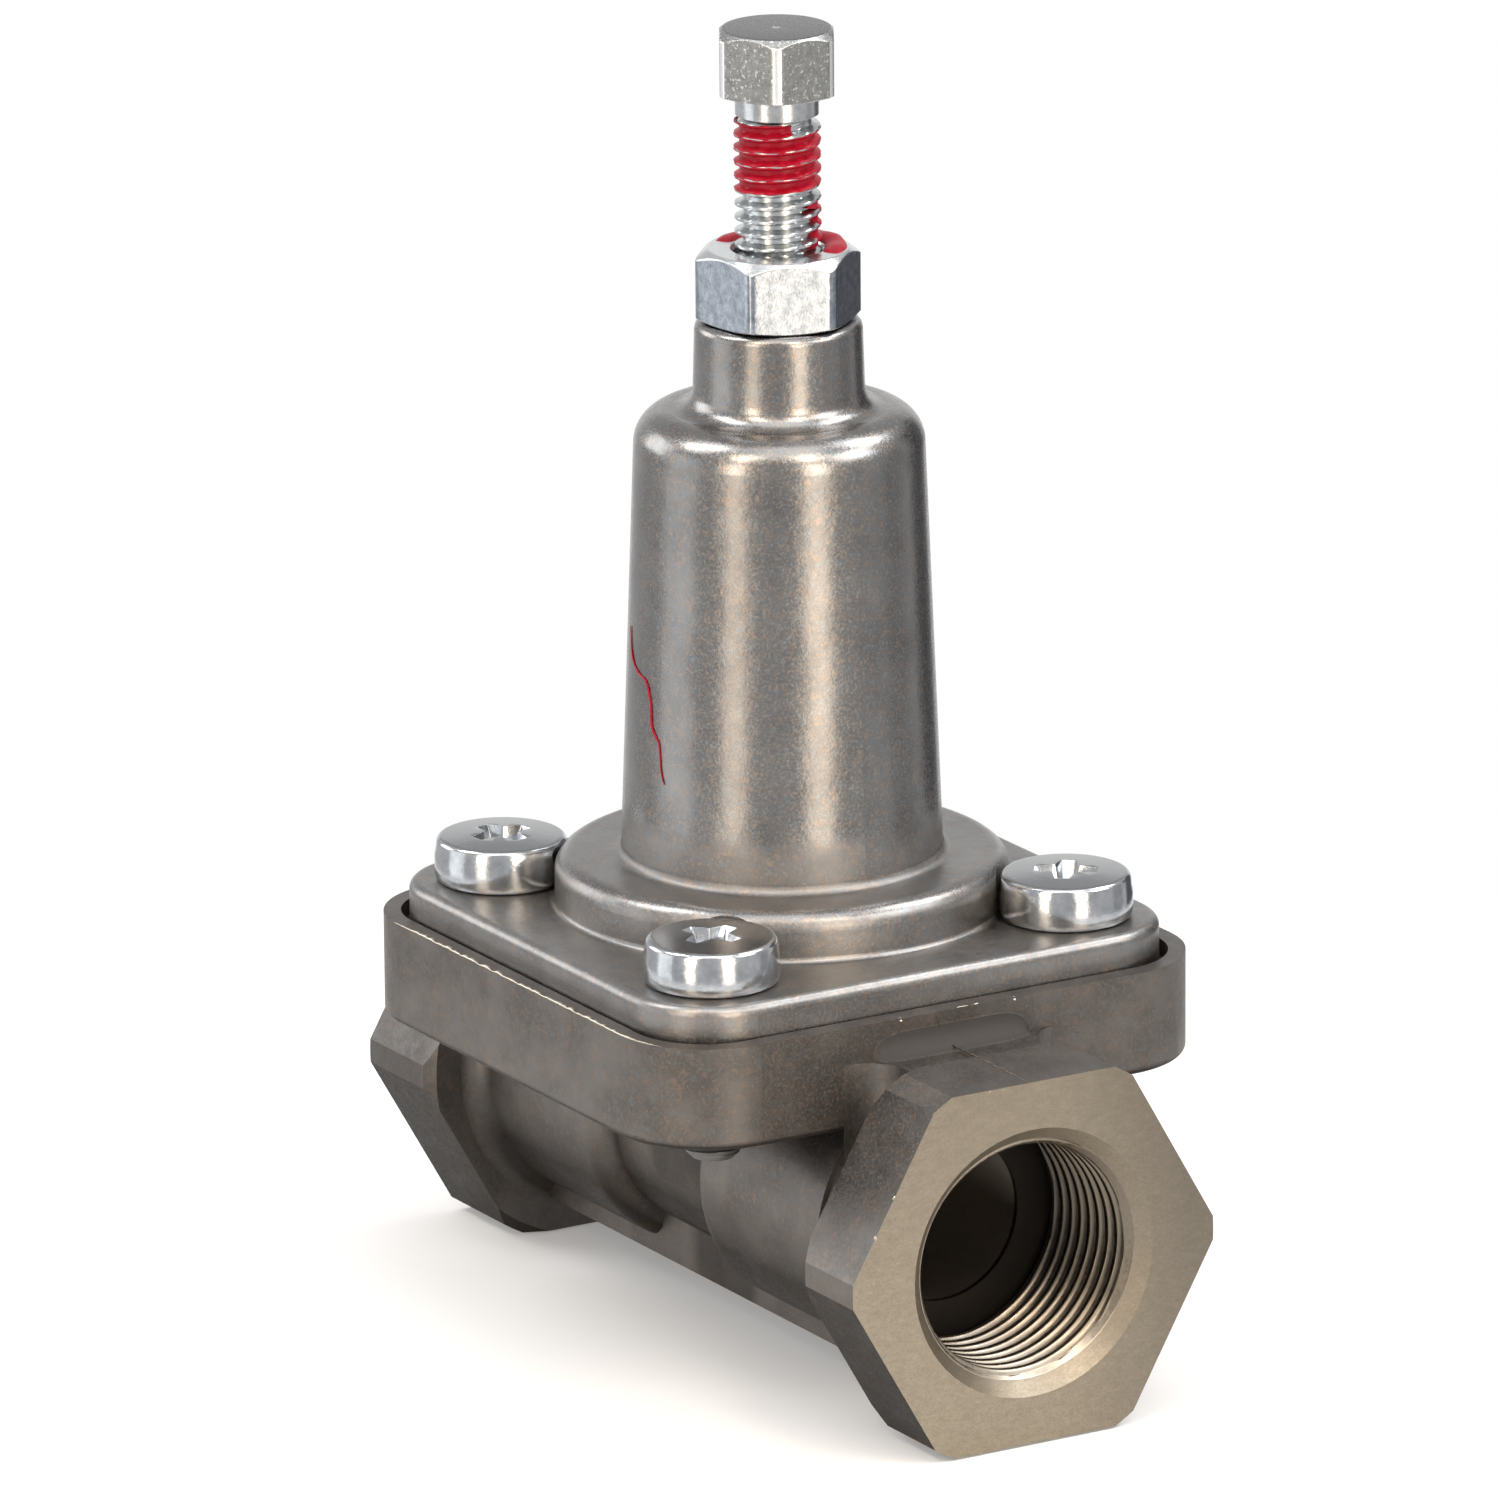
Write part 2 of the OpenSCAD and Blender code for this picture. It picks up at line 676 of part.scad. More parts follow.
module pressure_piston() {
    hollow_r = 5;
    color([0.66, 0.66, 0.65]) rotate_extrude() difference() {
        polygon([
            [0, piston_z], [piston_foot_r, piston_z], [piston_foot_r, piston_rim_z],
            [piston_r - 0.3, piston_rim_z], [piston_r, piston_rim_z + 0.3],
            [piston_r, piston_top_z - 0.3], [piston_r - 0.3, piston_top_z], [spigot_r, piston_top_z],
            [spigot_r, piston_top_z + spigot_h - 0.6], [spigot_r - 0.6, piston_top_z + spigot_h],
            [hollow_r, piston_top_z + spigot_h], [hollow_r, piston_rim_z], [0, piston_rim_z]
        ]);
        translate([guide_ring_r - guide_ring_w - eps, guide_ring_z - eps])
            square([guide_ring_w + 1, guide_ring_h + 2 * eps]);
    }
}

module piston_guide_ring() {
    color([0.86, 0.84, 0.78]) rotate_extrude()
        translate([guide_ring_r - guide_ring_w, guide_ring_z]) square([guide_ring_w, guide_ring_h]);
}

// Steel disc that spreads the piston's load on the diaphragm
module pressure_plate() {
    edge_r = pressure_plate_t * 0.4;
    color([0.62, 0.62, 0.60]) rotate_extrude() difference() {
        translate([0, recess_z]) square([piston_foot_r, pressure_plate_t]);
        translate([piston_foot_r, recess_z]) mirror([0, 1]) outside_rounding(edge_r);
    }
}

module diaphragm() {
    bump_r = convolution_h;
    color([0.13, 0.13, 0.14]) rotate_extrude() {
        difference() {
            union() {
                translate([0, web_z]) square([bead_r, diaphragm_t]);
                translate([bead_r - bead_w, web_z - bead_depth]) square([bead_w, bead_depth + eps]);
                translate([convolution_r, recess_z]) intersection() {
                    circle(bump_r, $fn = 32);
                    translate([-bump_r, -eps]) square([2 * bump_r, bump_r + 1]);
                }
            }
            translate([convolution_r, web_z]) intersection() {
                circle(bump_r * 0.7, $fn = 32);
                translate([-bump_r, -1]) square([2 * bump_r, bump_r + 2]);
            }
        }
    }
}

module valve_seat() {
    color([0.72, 0.60, 0.32]) rotate_extrude() difference() {
        translate([seat_bore_r, seat_ring_z]) square([seat_wall, seat_ring_h]);
        translate([seat_ring_r, web_z]) outside_rounding(seat_wall * 0.4);
        translate([seat_ring_r - seat_seal_d - 2 * eps, seat_seal_z - seat_seal_d / 2 - eps])
            square([seat_seal_d + 1, seat_seal_d + 2 * eps]);
    }
}

module seat_seal() {
    color([0.10, 0.10, 0.11]) rotate_extrude($fn = 48)
        translate([seat_ring_r - seat_seal_d / 2 - eps, seat_seal_z]) circle(seat_seal_d / 2, $fn = 16);
}

// Plate with three guide lugs, standing behind its rubber face
module check_plate() {
    guide_r = passage_r - check_guide_play;
    color([0.66, 0.66, 0.65]) on_port_axis(-1) translate([0, 0, check_plate_x])
        linear_extrude(check_plate_t) difference() {
            union() {
                circle(check_plate_r);
                intersection() {
                    circle(guide_r);
                    for (k = [0:2]) rotate(120 * k) translate([0, -1.25]) square([guide_r, 2.5]);
                }
            }
            circle(check_pin_r + eps);
        }
}

module check_seal() {
    color([0.12, 0.12, 0.12]) on_port_axis(-1) translate([0, 0, check_face])
        linear_extrude(check_seal_t) difference() {
            circle(check_plate_r - 0.3);
            circle(check_pin_r + eps);
        }
}

// Pin that holds the rubber face on the plate and slides in the retainer
module check_pin() {
    head_t = 0.8;
    color([0.72, 0.72, 0.70]) on_port_axis(-1) {
        translate([0, 0, check_face - head_t]) cylinder(r = check_pin_head_r, h = head_t);
        translate([0, 0, check_face - eps]) cylinder(r = check_pin_r, h = snap_x + 0.4 - check_face);
    }
}

module check_spring() {
    color([0.70, 0.71, 0.72]) on_port_axis(-1) translate([0, 0, check_back])
        coil(check_spring_r, check_wire, check_spring_len, check_turns);
}

module check_retainer() {
    hole_r = 1.5;
    color([0.70, 0.66, 0.50]) on_port_axis(-1) translate([0, 0, retainer_x])
        linear_extrude(retainer_t) difference() {
            circle(retainer_bore_r - side_gap / 2);
            for (k = [0:5]) rotate(60 * k + 30) translate([passage_r - hole_r - 0.6, 0]) circle(hole_r);
            circle(check_pin_r + check_guide_play);
        }
}

module snap_ring() {
    outer = retainer_bore_r + snap_depth - snap_play;
    inner = outer - snap_depth - 1.2;
    color([0.45, 0.46, 0.48]) on_port_axis(-1) translate([0, 0, snap_x + snap_play / 2])
        linear_extrude(snap_t) difference() {
            circle(outer);
            circle(inner);
            translate([0, -1]) square([outer + 1, 2]);
        }
}

valve_body();
cover();
cover_screws();
adjusting_screw();
lock_nut();
thrust_ball();
upper_spring_seat();
pressure_spring();
pressure_piston();
piston_guide_ring();
pressure_plate();
diaphragm();
valve_seat();
seat_seal();
check_plate();
check_seal();
check_pin();
check_spring();
check_retainer();
snap_ring();
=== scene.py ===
"""Looks of the overflow valve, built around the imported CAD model."""
from math import ceil, cos, pi, radians, sin

import bmesh
import bpy
from mathutils import Matrix, Vector, noise

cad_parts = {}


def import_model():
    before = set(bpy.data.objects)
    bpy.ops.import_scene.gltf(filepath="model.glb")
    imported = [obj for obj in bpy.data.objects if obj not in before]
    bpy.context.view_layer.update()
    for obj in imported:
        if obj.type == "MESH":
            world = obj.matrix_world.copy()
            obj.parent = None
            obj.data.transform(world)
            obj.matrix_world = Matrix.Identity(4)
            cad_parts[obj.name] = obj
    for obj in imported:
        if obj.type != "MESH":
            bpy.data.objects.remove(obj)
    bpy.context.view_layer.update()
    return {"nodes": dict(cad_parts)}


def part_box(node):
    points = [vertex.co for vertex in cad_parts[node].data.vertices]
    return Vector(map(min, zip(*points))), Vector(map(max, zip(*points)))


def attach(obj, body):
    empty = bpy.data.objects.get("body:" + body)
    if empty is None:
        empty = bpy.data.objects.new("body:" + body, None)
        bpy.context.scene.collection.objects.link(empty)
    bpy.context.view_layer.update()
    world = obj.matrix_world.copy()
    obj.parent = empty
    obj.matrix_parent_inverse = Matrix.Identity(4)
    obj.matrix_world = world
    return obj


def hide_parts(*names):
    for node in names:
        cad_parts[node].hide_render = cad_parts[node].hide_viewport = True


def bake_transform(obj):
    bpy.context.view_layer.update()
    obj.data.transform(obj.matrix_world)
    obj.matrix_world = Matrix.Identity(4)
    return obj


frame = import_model()
MM = 0.001


def bottom_of(node):
    """Lowest height of a node at rest, in millimetres."""
    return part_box(node)[0].z / MM


def top_of(node):
    """Highest height of a node at rest, in millimetres."""
    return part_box(node)[1].z / MM


# Places taken from the frame, in millimetres
PORT_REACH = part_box("valve_body")[1].x / MM
FLANGE_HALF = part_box("valve_body")[1].y / MM
RIM_Z = top_of("valve_body")
COVER_SCREW_TOP_Z = top_of("cover_screws")
NUT_Z = bottom_of("lock_nut")
NUT_TOP_Z = top_of("lock_nut")
TIP_Z = bottom_of("adjusting_screw")
HEAD_TOP_Z = top_of("adjusting_screw")

# Body and cover, in millimetres, as in the part's source
AXIS_Z = 16.5
HEX_TOP_Z = 33.0
FLANGE_UNDER_Z = 26.6
FLANGE_CORNER_R = 9.1
PASSAGE_R = 7.6
PORT_THREAD_R = 11.0
PORT_THREAD_PITCH = 1.5
PORT_THREAD_LEN = 13.8
PORT_CHAMFER = 1.2
PORT_MOUTH = PORT_REACH - PORT_CHAMFER
PORT_THREAD_END = PORT_MOUTH - PORT_THREAD_LEN
PLATE_Z = 39.0
DOME_FOOT_Z = 43.45
DOME_FOOT_R = 14.3
DOME_H = 40.6
DOME_TAPER = 1.55 / DOME_H
NECK_FOOT_Z = DOME_FOOT_Z + DOME_H
NECK_FOOT_R = 7.65
NECK_TAPER = 0.25 / 8

# Fasteners and springs, in millimetres
THREAD_DEPTH = 0.61
THREAD_CREST, THREAD_ROOT = 0.14, 0.26
ADJUSTER_THREAD_R = 3.80
ADJUSTER_PITCH = 1.25
ADJUSTER_PHASE = 0.40
ADJUSTER_AF = 10.0
ADJUSTER_HEAD_H = 5.85
ADJUSTER_NECK_R = 3.70
ADJUSTER_NECK_H = 2.1
NUT_AF = 13.0
COVER_SCREW_R = 3.0
COVER_SCREW_PITCH = 1.0
COVER_SCREW_LEN = 16.0
COVER_SCREW_HEAD_R = 6.0
COVER_SCREW_SPACING = 36.4
SPRING_Z = (39.5, 74.05)
SPRING_R, SPRING_WIRE = 8.3, 3.0
CHECK_SPRING_X = (11.6, 18.0)
CHECK_SPRING_R, CHECK_WIRE = 3.4, 0.6

# Where a corner of each hexagon points, in degrees from +X
NUT_CORNER = 9.5
HEAD_CORNER = -30.5

# Camera that was fitted to the photograph: angles in degrees, distances in millimetres
CAMERA_TURN = 30.862
CAMERA_RISE = 16.514
CAMERA_ROLL = -0.445
CAMERA_DISTANCE = 1450.07
TARGET_SIDE = -2.787
TARGET_Z = 52.515
LENS = 393.43
SENSOR = 36.0

# Marks read from the photograph: the fibre by turns to the right of the camera and heights, bruises on
# the right port's face by y, z and size, those on the flange's rim by y and size, and the parting plane
FIBRE = (
    (-77.4, 64.86), (-73.4, 62.3), (-67.0, 61.34), (-60.2, 60.84), (-56.7, 59.14),
    (-55.6, 57.11), (-52.7, 56.17), (-50.9, 55.64), (-49.4, 53.26), (-47.7, 52.17),
)
FACE_CHIPS = (
    (-14.2, 24.9, 0.22), (-16.1, 21.5, 0.26), (-16.7, 20.4, 0.14),
    (-4.5, 32.85, 0.22), (-3.1, 32.85, 0.24),
)
RIM_CHIPS = ((5.9, 0.15), (6.6, 0.19), (8.7, 0.14), (-5.1, 0.2), (2.2, 0.1), (-11.3, 0.12))
PARTING_Y = -0.4


# Forms, from sizes in millimetres
def skin(name, rings, material, sharp_angle, joined=False):
    """Smooth piece over rings of equal counts; it has lids, or its last ring is joined to its first."""
    n = len(rings[0])
    points = [Vector(p) * MM for ring in rings for p in ring]
    faces = []
    for i in range(len(rings) if joined else len(rings) - 1):
        here, ahead = i * n, (i + 1) % len(rings) * n
        for j in range(n):
            k = (j + 1) % n
            faces.append((here + j, here + k, ahead + k, ahead + j))
    if not joined:
        faces += [tuple(range(n)), tuple(range(len(points) - n, len(points)))]
    mesh = bpy.data.meshes.new(name)
    mesh.from_pydata(points, [], faces)
    mesh.validate()
    bm = bmesh.new()
    bm.from_mesh(mesh)
    bmesh.ops.recalc_face_normals(bm, faces=bm.faces)
    bm.to_mesh(mesh)
    bm.free()
    mesh.shade_smooth()
    mesh.set_sharp_from_angle(angle=radians(sharp_angle))
    mesh.materials.append(material)
    piece = bpy.data.objects.new(name, mesh)
    bpy.context.scene.collection.objects.link(piece)
    return piece


def at(r, a, z):
    """Point at a radius, an angle and a height around the cover's axis."""
    return r * cos(a), r * sin(a), z


def circle_ring(radius, z, angles):
    """Level ring around the cover's axis."""
    return [at(radius, a, z) for a in angles]


def around(count, start=0.0):
    """Evenly spaced angles of a whole turn."""
    return [start + 2 * pi * j / count for j in range(count)]


def soft_step(share):
    """Share held between 0 and 1, with soft ends."""
    share = min(1.0, max(0.0, share))
    return share * share * (3 - 2 * share)


def ridge(phase, crest, root):
    """Height, 0 to 1, of a thread's ridge at a phase in turns; its flats are shares of the pitch."""
    away = abs((phase + 0.5) % 1.0 - 0.5) * 2
    return soft_step((1 - root - away) / (1 - root - crest))


def root_radius(major_r, pitch):
    """Radius at the bottom of an outside thread's groove."""
    return major_r - THREAD_DEPTH * pitch


def hexagon_rings(af, z0, z1, corner, angles, low_chamfer, high_chamfer, blunt):
    """Rings of a hexagon prism whose corners are blunted, and turned off by cones at both ends."""
    flat_r = af / 2 * 0.955
    reach = af / 2 / cos(pi / 6)
    low, side_low, side_high, high = [], [], [], []
    for a in angles:
        turn = (a - corner) % (pi / 3) - pi / 6
        side = min(af / 2 / cos(turn), reach - blunt)
        drop = max(0.0, (side - flat_r) / (reach - flat_r))
        low.append(at(flat_r, a, z0))
        side_low.append(at(side, a, z0 + low_chamfer * drop))
        side_high.append(at(side, a, z1 - high_chamfer * drop))
        high.append(at(flat_r, a, z1))
    return [low, side_low, side_high, high]


def thread_rings(angles, z0, z1, pitch, major_r, rows=12, start=0.0):
    """Rings of a right-hand outside thread that fades out over the last part of a turn at both ends."""
    root_r = root_radius(major_r, pitch)
    fade = 0.6 * pitch
    count = ceil((z1 - z0) / pitch * rows)
    rings = []
    for i in range(count + 1):
        z = z0 + (z1 - z0) * i / count
        depth = (major_r - root_r) * min(1.0, min(z - z0, z1 - z) / fade + 0.05)
        ring = []
        for a in angles:
            phase = z / pitch - a / (2 * pi) - start
            ring.append(at(root_r + depth * ridge(phase, THREAD_CREST, THREAD_ROOT), a, z))
        rings.append(ring)
    return rings


def object_from(name, bm, material=None):
    """Object made from a bmesh that is in metres."""
    mesh = bpy.data.meshes.new(name)
    bm.to_mesh(mesh)
    bm.free()
    if material is not None:
        mesh.materials.append(material)
    thing = bpy.data.objects.new(name, mesh)
    bpy.context.scene.collection.objects.link(thing)
    return thing


# Materials
class Nodes:
    """Node tree of a new material or world, with short ways to add and join nodes."""

    def __init__(self, name, owners=bpy.data.materials):
        self.owner = owners.new(name)
        self.owner.use_nodes = True
        self.tree = self.owner.node_tree
        self.shader = self.tree.nodes.get("Principled BSDF")

    def add(self, kind, inputs=None, **settings):
        """New node with values or links for its inputs."""
        node = self.tree.nodes.new(kind)
        for key, value in settings.items():
            setattr(node, key, value)
        for key, value in (inputs or {}).items():
            self.put(node.inputs[key], value)
        return node

    def put(self, socket, value):
        """Link or value of one input; a colour is red, green and blue."""
        if isinstance(value, bpy.types.NodeSocket):
            self.tree.links.new(value, socket)
        elif socket.type == "RGBA":
            socket.default_value = (*value, 1)
        else:
            socket.default_value = value

    def place(self, stretch=(1, 1, 1)):
        """Position on the piece in millimetres."""
        here = self.add("ShaderNodeTexCoord").outputs["Object"]
        scale = [s / MM for s in stretch]
        return self.add("ShaderNodeMapping", {"Vector": here, "Scale": scale}).outputs[0]

    def axes(self):
        """X, Y and Z on the piece in millimetres."""
        return self.add("ShaderNodeSeparateXYZ", {0: self.place()}).outputs

    def up(self):
        """Height of the surface's direction, from -1 for down to 1 for up."""
        normal = self.add("ShaderNodeNewGeometry").outputs["Normal"]
        return self.add("ShaderNodeSeparateXYZ", {0: normal}).outputs[2]

    def noise(self, place, scale, detail, roughness):
        inputs = {"Vector": place, "Scale": scale, "Detail": detail, "Roughness": roughness}
        return self.add("ShaderNodeTexNoise", inputs).outputs["Fac"]

    def spread(self, value, low, high, to_low=0.0, to_high=1.0):
        """Value moved from one range to another and held inside it."""
        inputs = {"Value": value, "From Min": low, "From Max": high, "To Min": to_low, "To Max": to_high}
        return self.add("ShaderNodeMapRange", inputs).outputs[0]

    def math(self, operation, a, b=0.0):
        return self.add("ShaderNodeMath", {0: a, 1: b}, operation=operation).outputs[0]

    def product(self, first, *others):
        """Product of shares: whole only where they all are."""
        for other in others:
            first = self.math("MULTIPLY", first, other)
        return first

    def length(self, a, b):
        """Distance of the point a, b from 0, 0."""
        return self.math("SQRT", self.math("ADD", self.product(a, a), self.product(b, b)))

    def mix(self, share, a, b, kind="RGBA"):
        """Mix of two colours, of two numbers (FLOAT) or of two directions (VECTOR)."""
        first = {"FLOAT": 2, "VECTOR": 4, "RGBA": 6}[kind]
        node = self.add("ShaderNodeMix", data_type=kind)
        self.put(node.inputs[0], share)
        self.put(node.inputs[first], a)
        self.put(node.inputs[first + 1], b)
        return node.outputs[first // 2 - 1]

    def bump(self, height, depth_mm, strength=1.0, under=None):
        """Direction of a surface with a height on it, over another bump if one is given."""
        inputs = {"Height": height, "Distance": depth_mm * MM, "Strength": strength}
        if under is not None:
            inputs["Normal"] = under
        return self.add("ShaderNodeBump", inputs).outputs[0]

    def seen(self):
        """1 for rays that the eye follows, also in a mirror or through glass, and 0 for others."""
        rays = self.add("ShaderNodeLightPath").outputs
        direct = self.math("MAXIMUM", rays["Is Camera Ray"], rays["Is Transmission Ray"])
        return self.math("MAXIMUM", direct, rays["Is Glossy Ray"])

    def finish(self, color, roughness, normal, metallic=1.0):
        """The material, with its shader joined up."""
        self.put(self.shader.inputs["Base Color"], color)
        self.put(self.shader.inputs["Roughness"], roughness)
        self.put(self.shader.inputs["Normal"], normal)
        self.put(self.shader.inputs["Metallic"], metallic)
        return self.owner


def cast_parts(n, light, dark, warm, rough_low, rough_high, grain_mm, depth):
    """Colour, roughness and normal of as-cast, tumbled aluminium."""
    place = n.place()
    cloud = n.noise(place, 0.22, 5, 0.6)
    patch = n.noise(place, 0.9, 4, 0.6)
    grain = n.noise(place, 1 / grain_mm, 2, 0.6)
    speck = n.noise(place, 2.1, 2, 0.5)
    blotch = n.noise(place, 1.25, 3, 0.7)
    bluish = [c * f for c, f in zip(light, (0.86, 0.97, 1.05))]
    reddish = [c * f for c, f in zip(light, (1.25, 1.02, 0.86))]
    color = n.mix(n.spread(cloud, 0.34, 0.66), dark, light)
    color = n.mix(n.spread(blotch, 0.53, 0.66, 0.0, 0.75), color, bluish)
    color = n.mix(n.spread(blotch, 0.46, 0.34, 0.0, 0.55), color, reddish)
    color = n.mix(n.spread(grain, 0.54, 0.72, 0.0, 0.55), color, warm)
    color = n.mix(n.spread(speck, 0.70, 0.76, 0.0, 0.5), color, dark)
    grainy = n.spread(grain, 0.3, 0.7, rough_low, rough_high)
    roughness = n.math("ADD", grainy, n.spread(patch, 0.3, 0.7, -0.03, 0.03))
    normal = n.bump(cloud, 0.18, 0.3)
    normal = n.bump(patch, 0.03, 0.5, normal)
    normal = n.bump(grain, depth, 1.0, normal)
    return color, roughness, normal


def cast_cover():
    """Cast skin that is smoother on the dome and duller on the plate and round the dome's foot."""
    n = Nodes("cast_cover")
    color, roughness, normal = cast_parts(
        n, (0.27, 0.262, 0.255), (0.20, 0.195, 0.192), (0.42, 0.35, 0.28), 0.19, 0.33, 0.24, 0.008
    )
    _, _, z = n.axes()
    foot = n.product(
        n.spread(z, DOME_FOOT_Z + 5.15, DOME_FOOT_Z + 2.95),
        n.spread(z, DOME_FOOT_Z - 0.15, DOME_FOOT_Z + 0.15),
    )
    plate = n.spread(z, DOME_FOOT_Z - 0.25, DOME_FOOT_Z - 0.85)
    roughness = n.math("ADD", roughness, n.math("MULTIPLY", foot, 0.22))
    roughness = n.math("ADD", roughness, n.math("MULTIPLY", plate, 0.11))
    return n.finish(color, roughness, normal)


def body_painted_shade(n, x, y, z):
    """Share and colour of painted shade on undersides, in the middle under the flange and in the corners
    over the hexagons, mottled by noise.
    """
    out, aside = n.math("ABSOLUTE", x), n.math("ABSOLUTE", y)
    shade_mottle = n.noise(n.place(), 0.35, 5, 0.62)
    # Painted shade on surfaces that face down, mottled by noise
    under = n.product(n.spread(n.up(), 0.08, -0.45), n.spread(shade_mottle, 0.3, 0.6, 0.86, 1.0))
    # Painted shade in the middle under the flange, between the barrels
    middle = n.product(
        n.spread(x, -7.5, -4.5),
        n.spread(x, 6.0, 4.0),
        n.spread(z, FLANGE_UNDER_Z + 0.3, FLANGE_UNDER_Z - 0.5),
        n.spread(aside, 18.0, 15.0, 0.0, 0.7),
    )
    # Painted shade in the corners where the hexagons' top flats meet the flange
    corner_shade = n.product(
        n.spread(z, HEX_TOP_Z - 0.32, HEX_TOP_Z - 0.2),
        n.spread(z, RIM_Z - 0.9, HEX_TOP_Z + 1.9),
        n.spread(out, FLANGE_HALF + 2.6, FLANGE_HALF + 2.0),
        n.spread(aside, 9.0, 7.5),
        n.math("GREATER_THAN", out, FLANGE_HALF + 0.01),
    )
    # Share of painted shade from the three masks, and its dark, mottled tone
    painted_shade = n.math("MAXIMUM", n.math("MAXIMUM", under, middle), n.product(corner_shade, 0.95))
    shade_tone = n.mix(n.spread(shade_mottle, 0.5, 0.62), (0.019, 0.018, 0.0175), (0.034, 0.027, 0.021))
    return painted_shade, n.mix(corner_shade, shade_tone, (0.045, 0.0425, 0.041))


def turned_face(n, y, radius):
    """Colour, roughness and normal of the turned port faces, with streaks, the tool's fine rings and
    painted shade towards +Y.
    """
    streak = n.noise(n.place((1, 0.6, 1.4)), 1.3, 5, 0.65)
    fine = n.noise(n.place((1, 0.8, 1.2)), 5.0, 3, 0.6)
    rings = n.math("SINE", n.math("MULTIPLY", radius, 46.0))
    color = n.mix(n.spread(streak, 0.3, 0.7), (0.27, 0.235, 0.182), (0.345, 0.30, 0.235))
    color = n.mix(n.spread(fine, 0.35, 0.65, 0.0, 0.5), color, (0.24, 0.20, 0.145))
    # Painted shade: the face is darker towards +Y
    color = n.mix(n.spread(y, 2.0, 16.0, 0.0, 0.55), color, (0.10, 0.092, 0.08))
    normal = n.bump(rings, 0.002, 0.5, n.bump(fine, 0.012))
    return color, n.spread(fine, 0.3, 0.7, 0.36, 0.52), normal


def cast_body():
    """Cast skin with painted shade, turned port faces and mouths, and the passages behind them, with
    painted shade on the left hexagon and on the step at the threads' end.
    """
    n = Nodes("cast_body")
    color, roughness, normal = cast_parts(
        n, (0.168, 0.155, 0.145), (0.108, 0.100, 0.094), (0.235, 0.20, 0.168), 0.38, 0.54, 0.26, 0.012
    )
    x, y, z = n.axes()
    painted_shade, shade_tone = body_painted_shade(n, x, y, z)
    # Painted shade mixed into the cast colour
    color = n.mix(painted_shade, color, shade_tone)
    # Painted shade: the left hexagon is darker
    left_hexagon_shade = n.spread(x, -30.0, -33.0, 0.0, 0.38)
    color = n.mix(left_hexagon_shade, color, (0.03, 0.028, 0.026))
    out = n.math("ABSOLUTE", x)
    radius = n.length(n.math("SUBTRACT", z, AXIS_Z), y)
    mouth = n.product(
        n.math("LESS_THAN", radius, PORT_THREAD_R + PORT_CHAMFER + 0.1),
        n.math("GREATER_THAN", out, PORT_REACH - 2.0),
    )
    turned = n.math("MAXIMUM", n.math("GREATER_THAN", out, PORT_REACH - 0.04), mouth)
    # The step at the threads' end, which gets a painted shade
    shaded_step = n.product(
        n.math("LESS_THAN", radius, PORT_THREAD_R + 0.05),
        n.math("GREATER_THAN", out, PORT_THREAD_END - 0.5),
        n.math("LESS_THAN", out, PORT_THREAD_END + 0.3),
    )
    deep = n.math("MAXIMUM", n.math("LESS_THAN", radius, PASSAGE_R + 0.15), shaded_step)
    face_color, face_roughness, face_normal = turned_face(n, y, radius)
    color = n.mix(turned, color, face_color)
    # Passage walls keep a turned tone; the step at the threads' end gets a painted shade
    color = n.mix(deep, color, n.mix(shaded_step, (0.30, 0.27, 0.235), (0.035, 0.031, 0.028)))
    roughness = n.mix(turned, roughness, face_roughness, "FLOAT")
    normal = n.mix(turned, normal, face_normal, "VECTOR")
    painted_shade_off_faces = n.product(painted_shade, n.math("SUBTRACT", 1.0, turned))
    # The painted shade isn't metal, and a low IOR keeps its steep sides from shining
    n.shader.inputs["IOR"].default_value = 1.12
    return n.finish(color, roughness, normal, n.math("SUBTRACT", 1.0, painted_shade_off_faces))


def turned_thread():
    """Turned threads of the ports, with painted light on the floor and painted shade far in and on the
    wall towards +Y.
    """
    n = Nodes("turned_thread")
    x, y, z = n.axes()
    streak = n.noise(n.place(), 2.4, 4, 0.6)
    color = n.mix(n.spread(streak, 0.3, 0.7), (0.30, 0.262, 0.205), (0.42, 0.368, 0.295))
    # Painted shade far inside the port, fading out towards the mouth
    near = n.spread(n.math("ABSOLUTE", x), PORT_THREAD_END, PORT_REACH - 5.0)
    color = n.mix(near, (0.07, 0.062, 0.052), color)
    # Painted light on the floor of the port
    floor_share = n.spread(z, AXIS_Z - 5.0, AXIS_Z - 9.5, 0.0, 0.8)
    color = n.mix(floor_share, color, (0.48, 0.42, 0.345))
    # Painted shade on the wall towards +Y, less on the floor
    wall = n.product(n.spread(y, -2.0, 7.0, 0.0, 0.66), n.spread(floor_share, 0.0, 0.8, 1.0, 0.3))
    color = n.mix(wall, color, (0.06, 0.052, 0.044))
    return n.finish(color, n.spread(streak, 0.3, 0.7, 0.26, 0.38), n.bump(streak, 0.004))


def zinc(name, color, dark, rough_low, rough_high, depth=0.006, cloud_scale=0.7, painted_light_and_tone=None):
    """Zinc plate whose tone is mottled over small patches."""
    n = Nodes(name)
    place = n.place()
    cloud = n.noise(place, cloud_scale, 5, 0.65)
    grain = n.noise(place, 5.0, 3, 0.6)
    shade = n.mix(n.spread(cloud, 0.33, 0.67), dark, color)
    roughness = n.spread(grain, 0.3, 0.7, rough_low, rough_high)
    # Painted light and shade, and other tone changes, where a function for them is given
    if painted_light_and_tone is not None:
        shade, roughness = painted_light_and_tone(n, shade, roughness)
    return n.finish(shade, roughness, n.bump(grain, depth, 1.0, n.bump(cloud, 0.03, 0.4)))


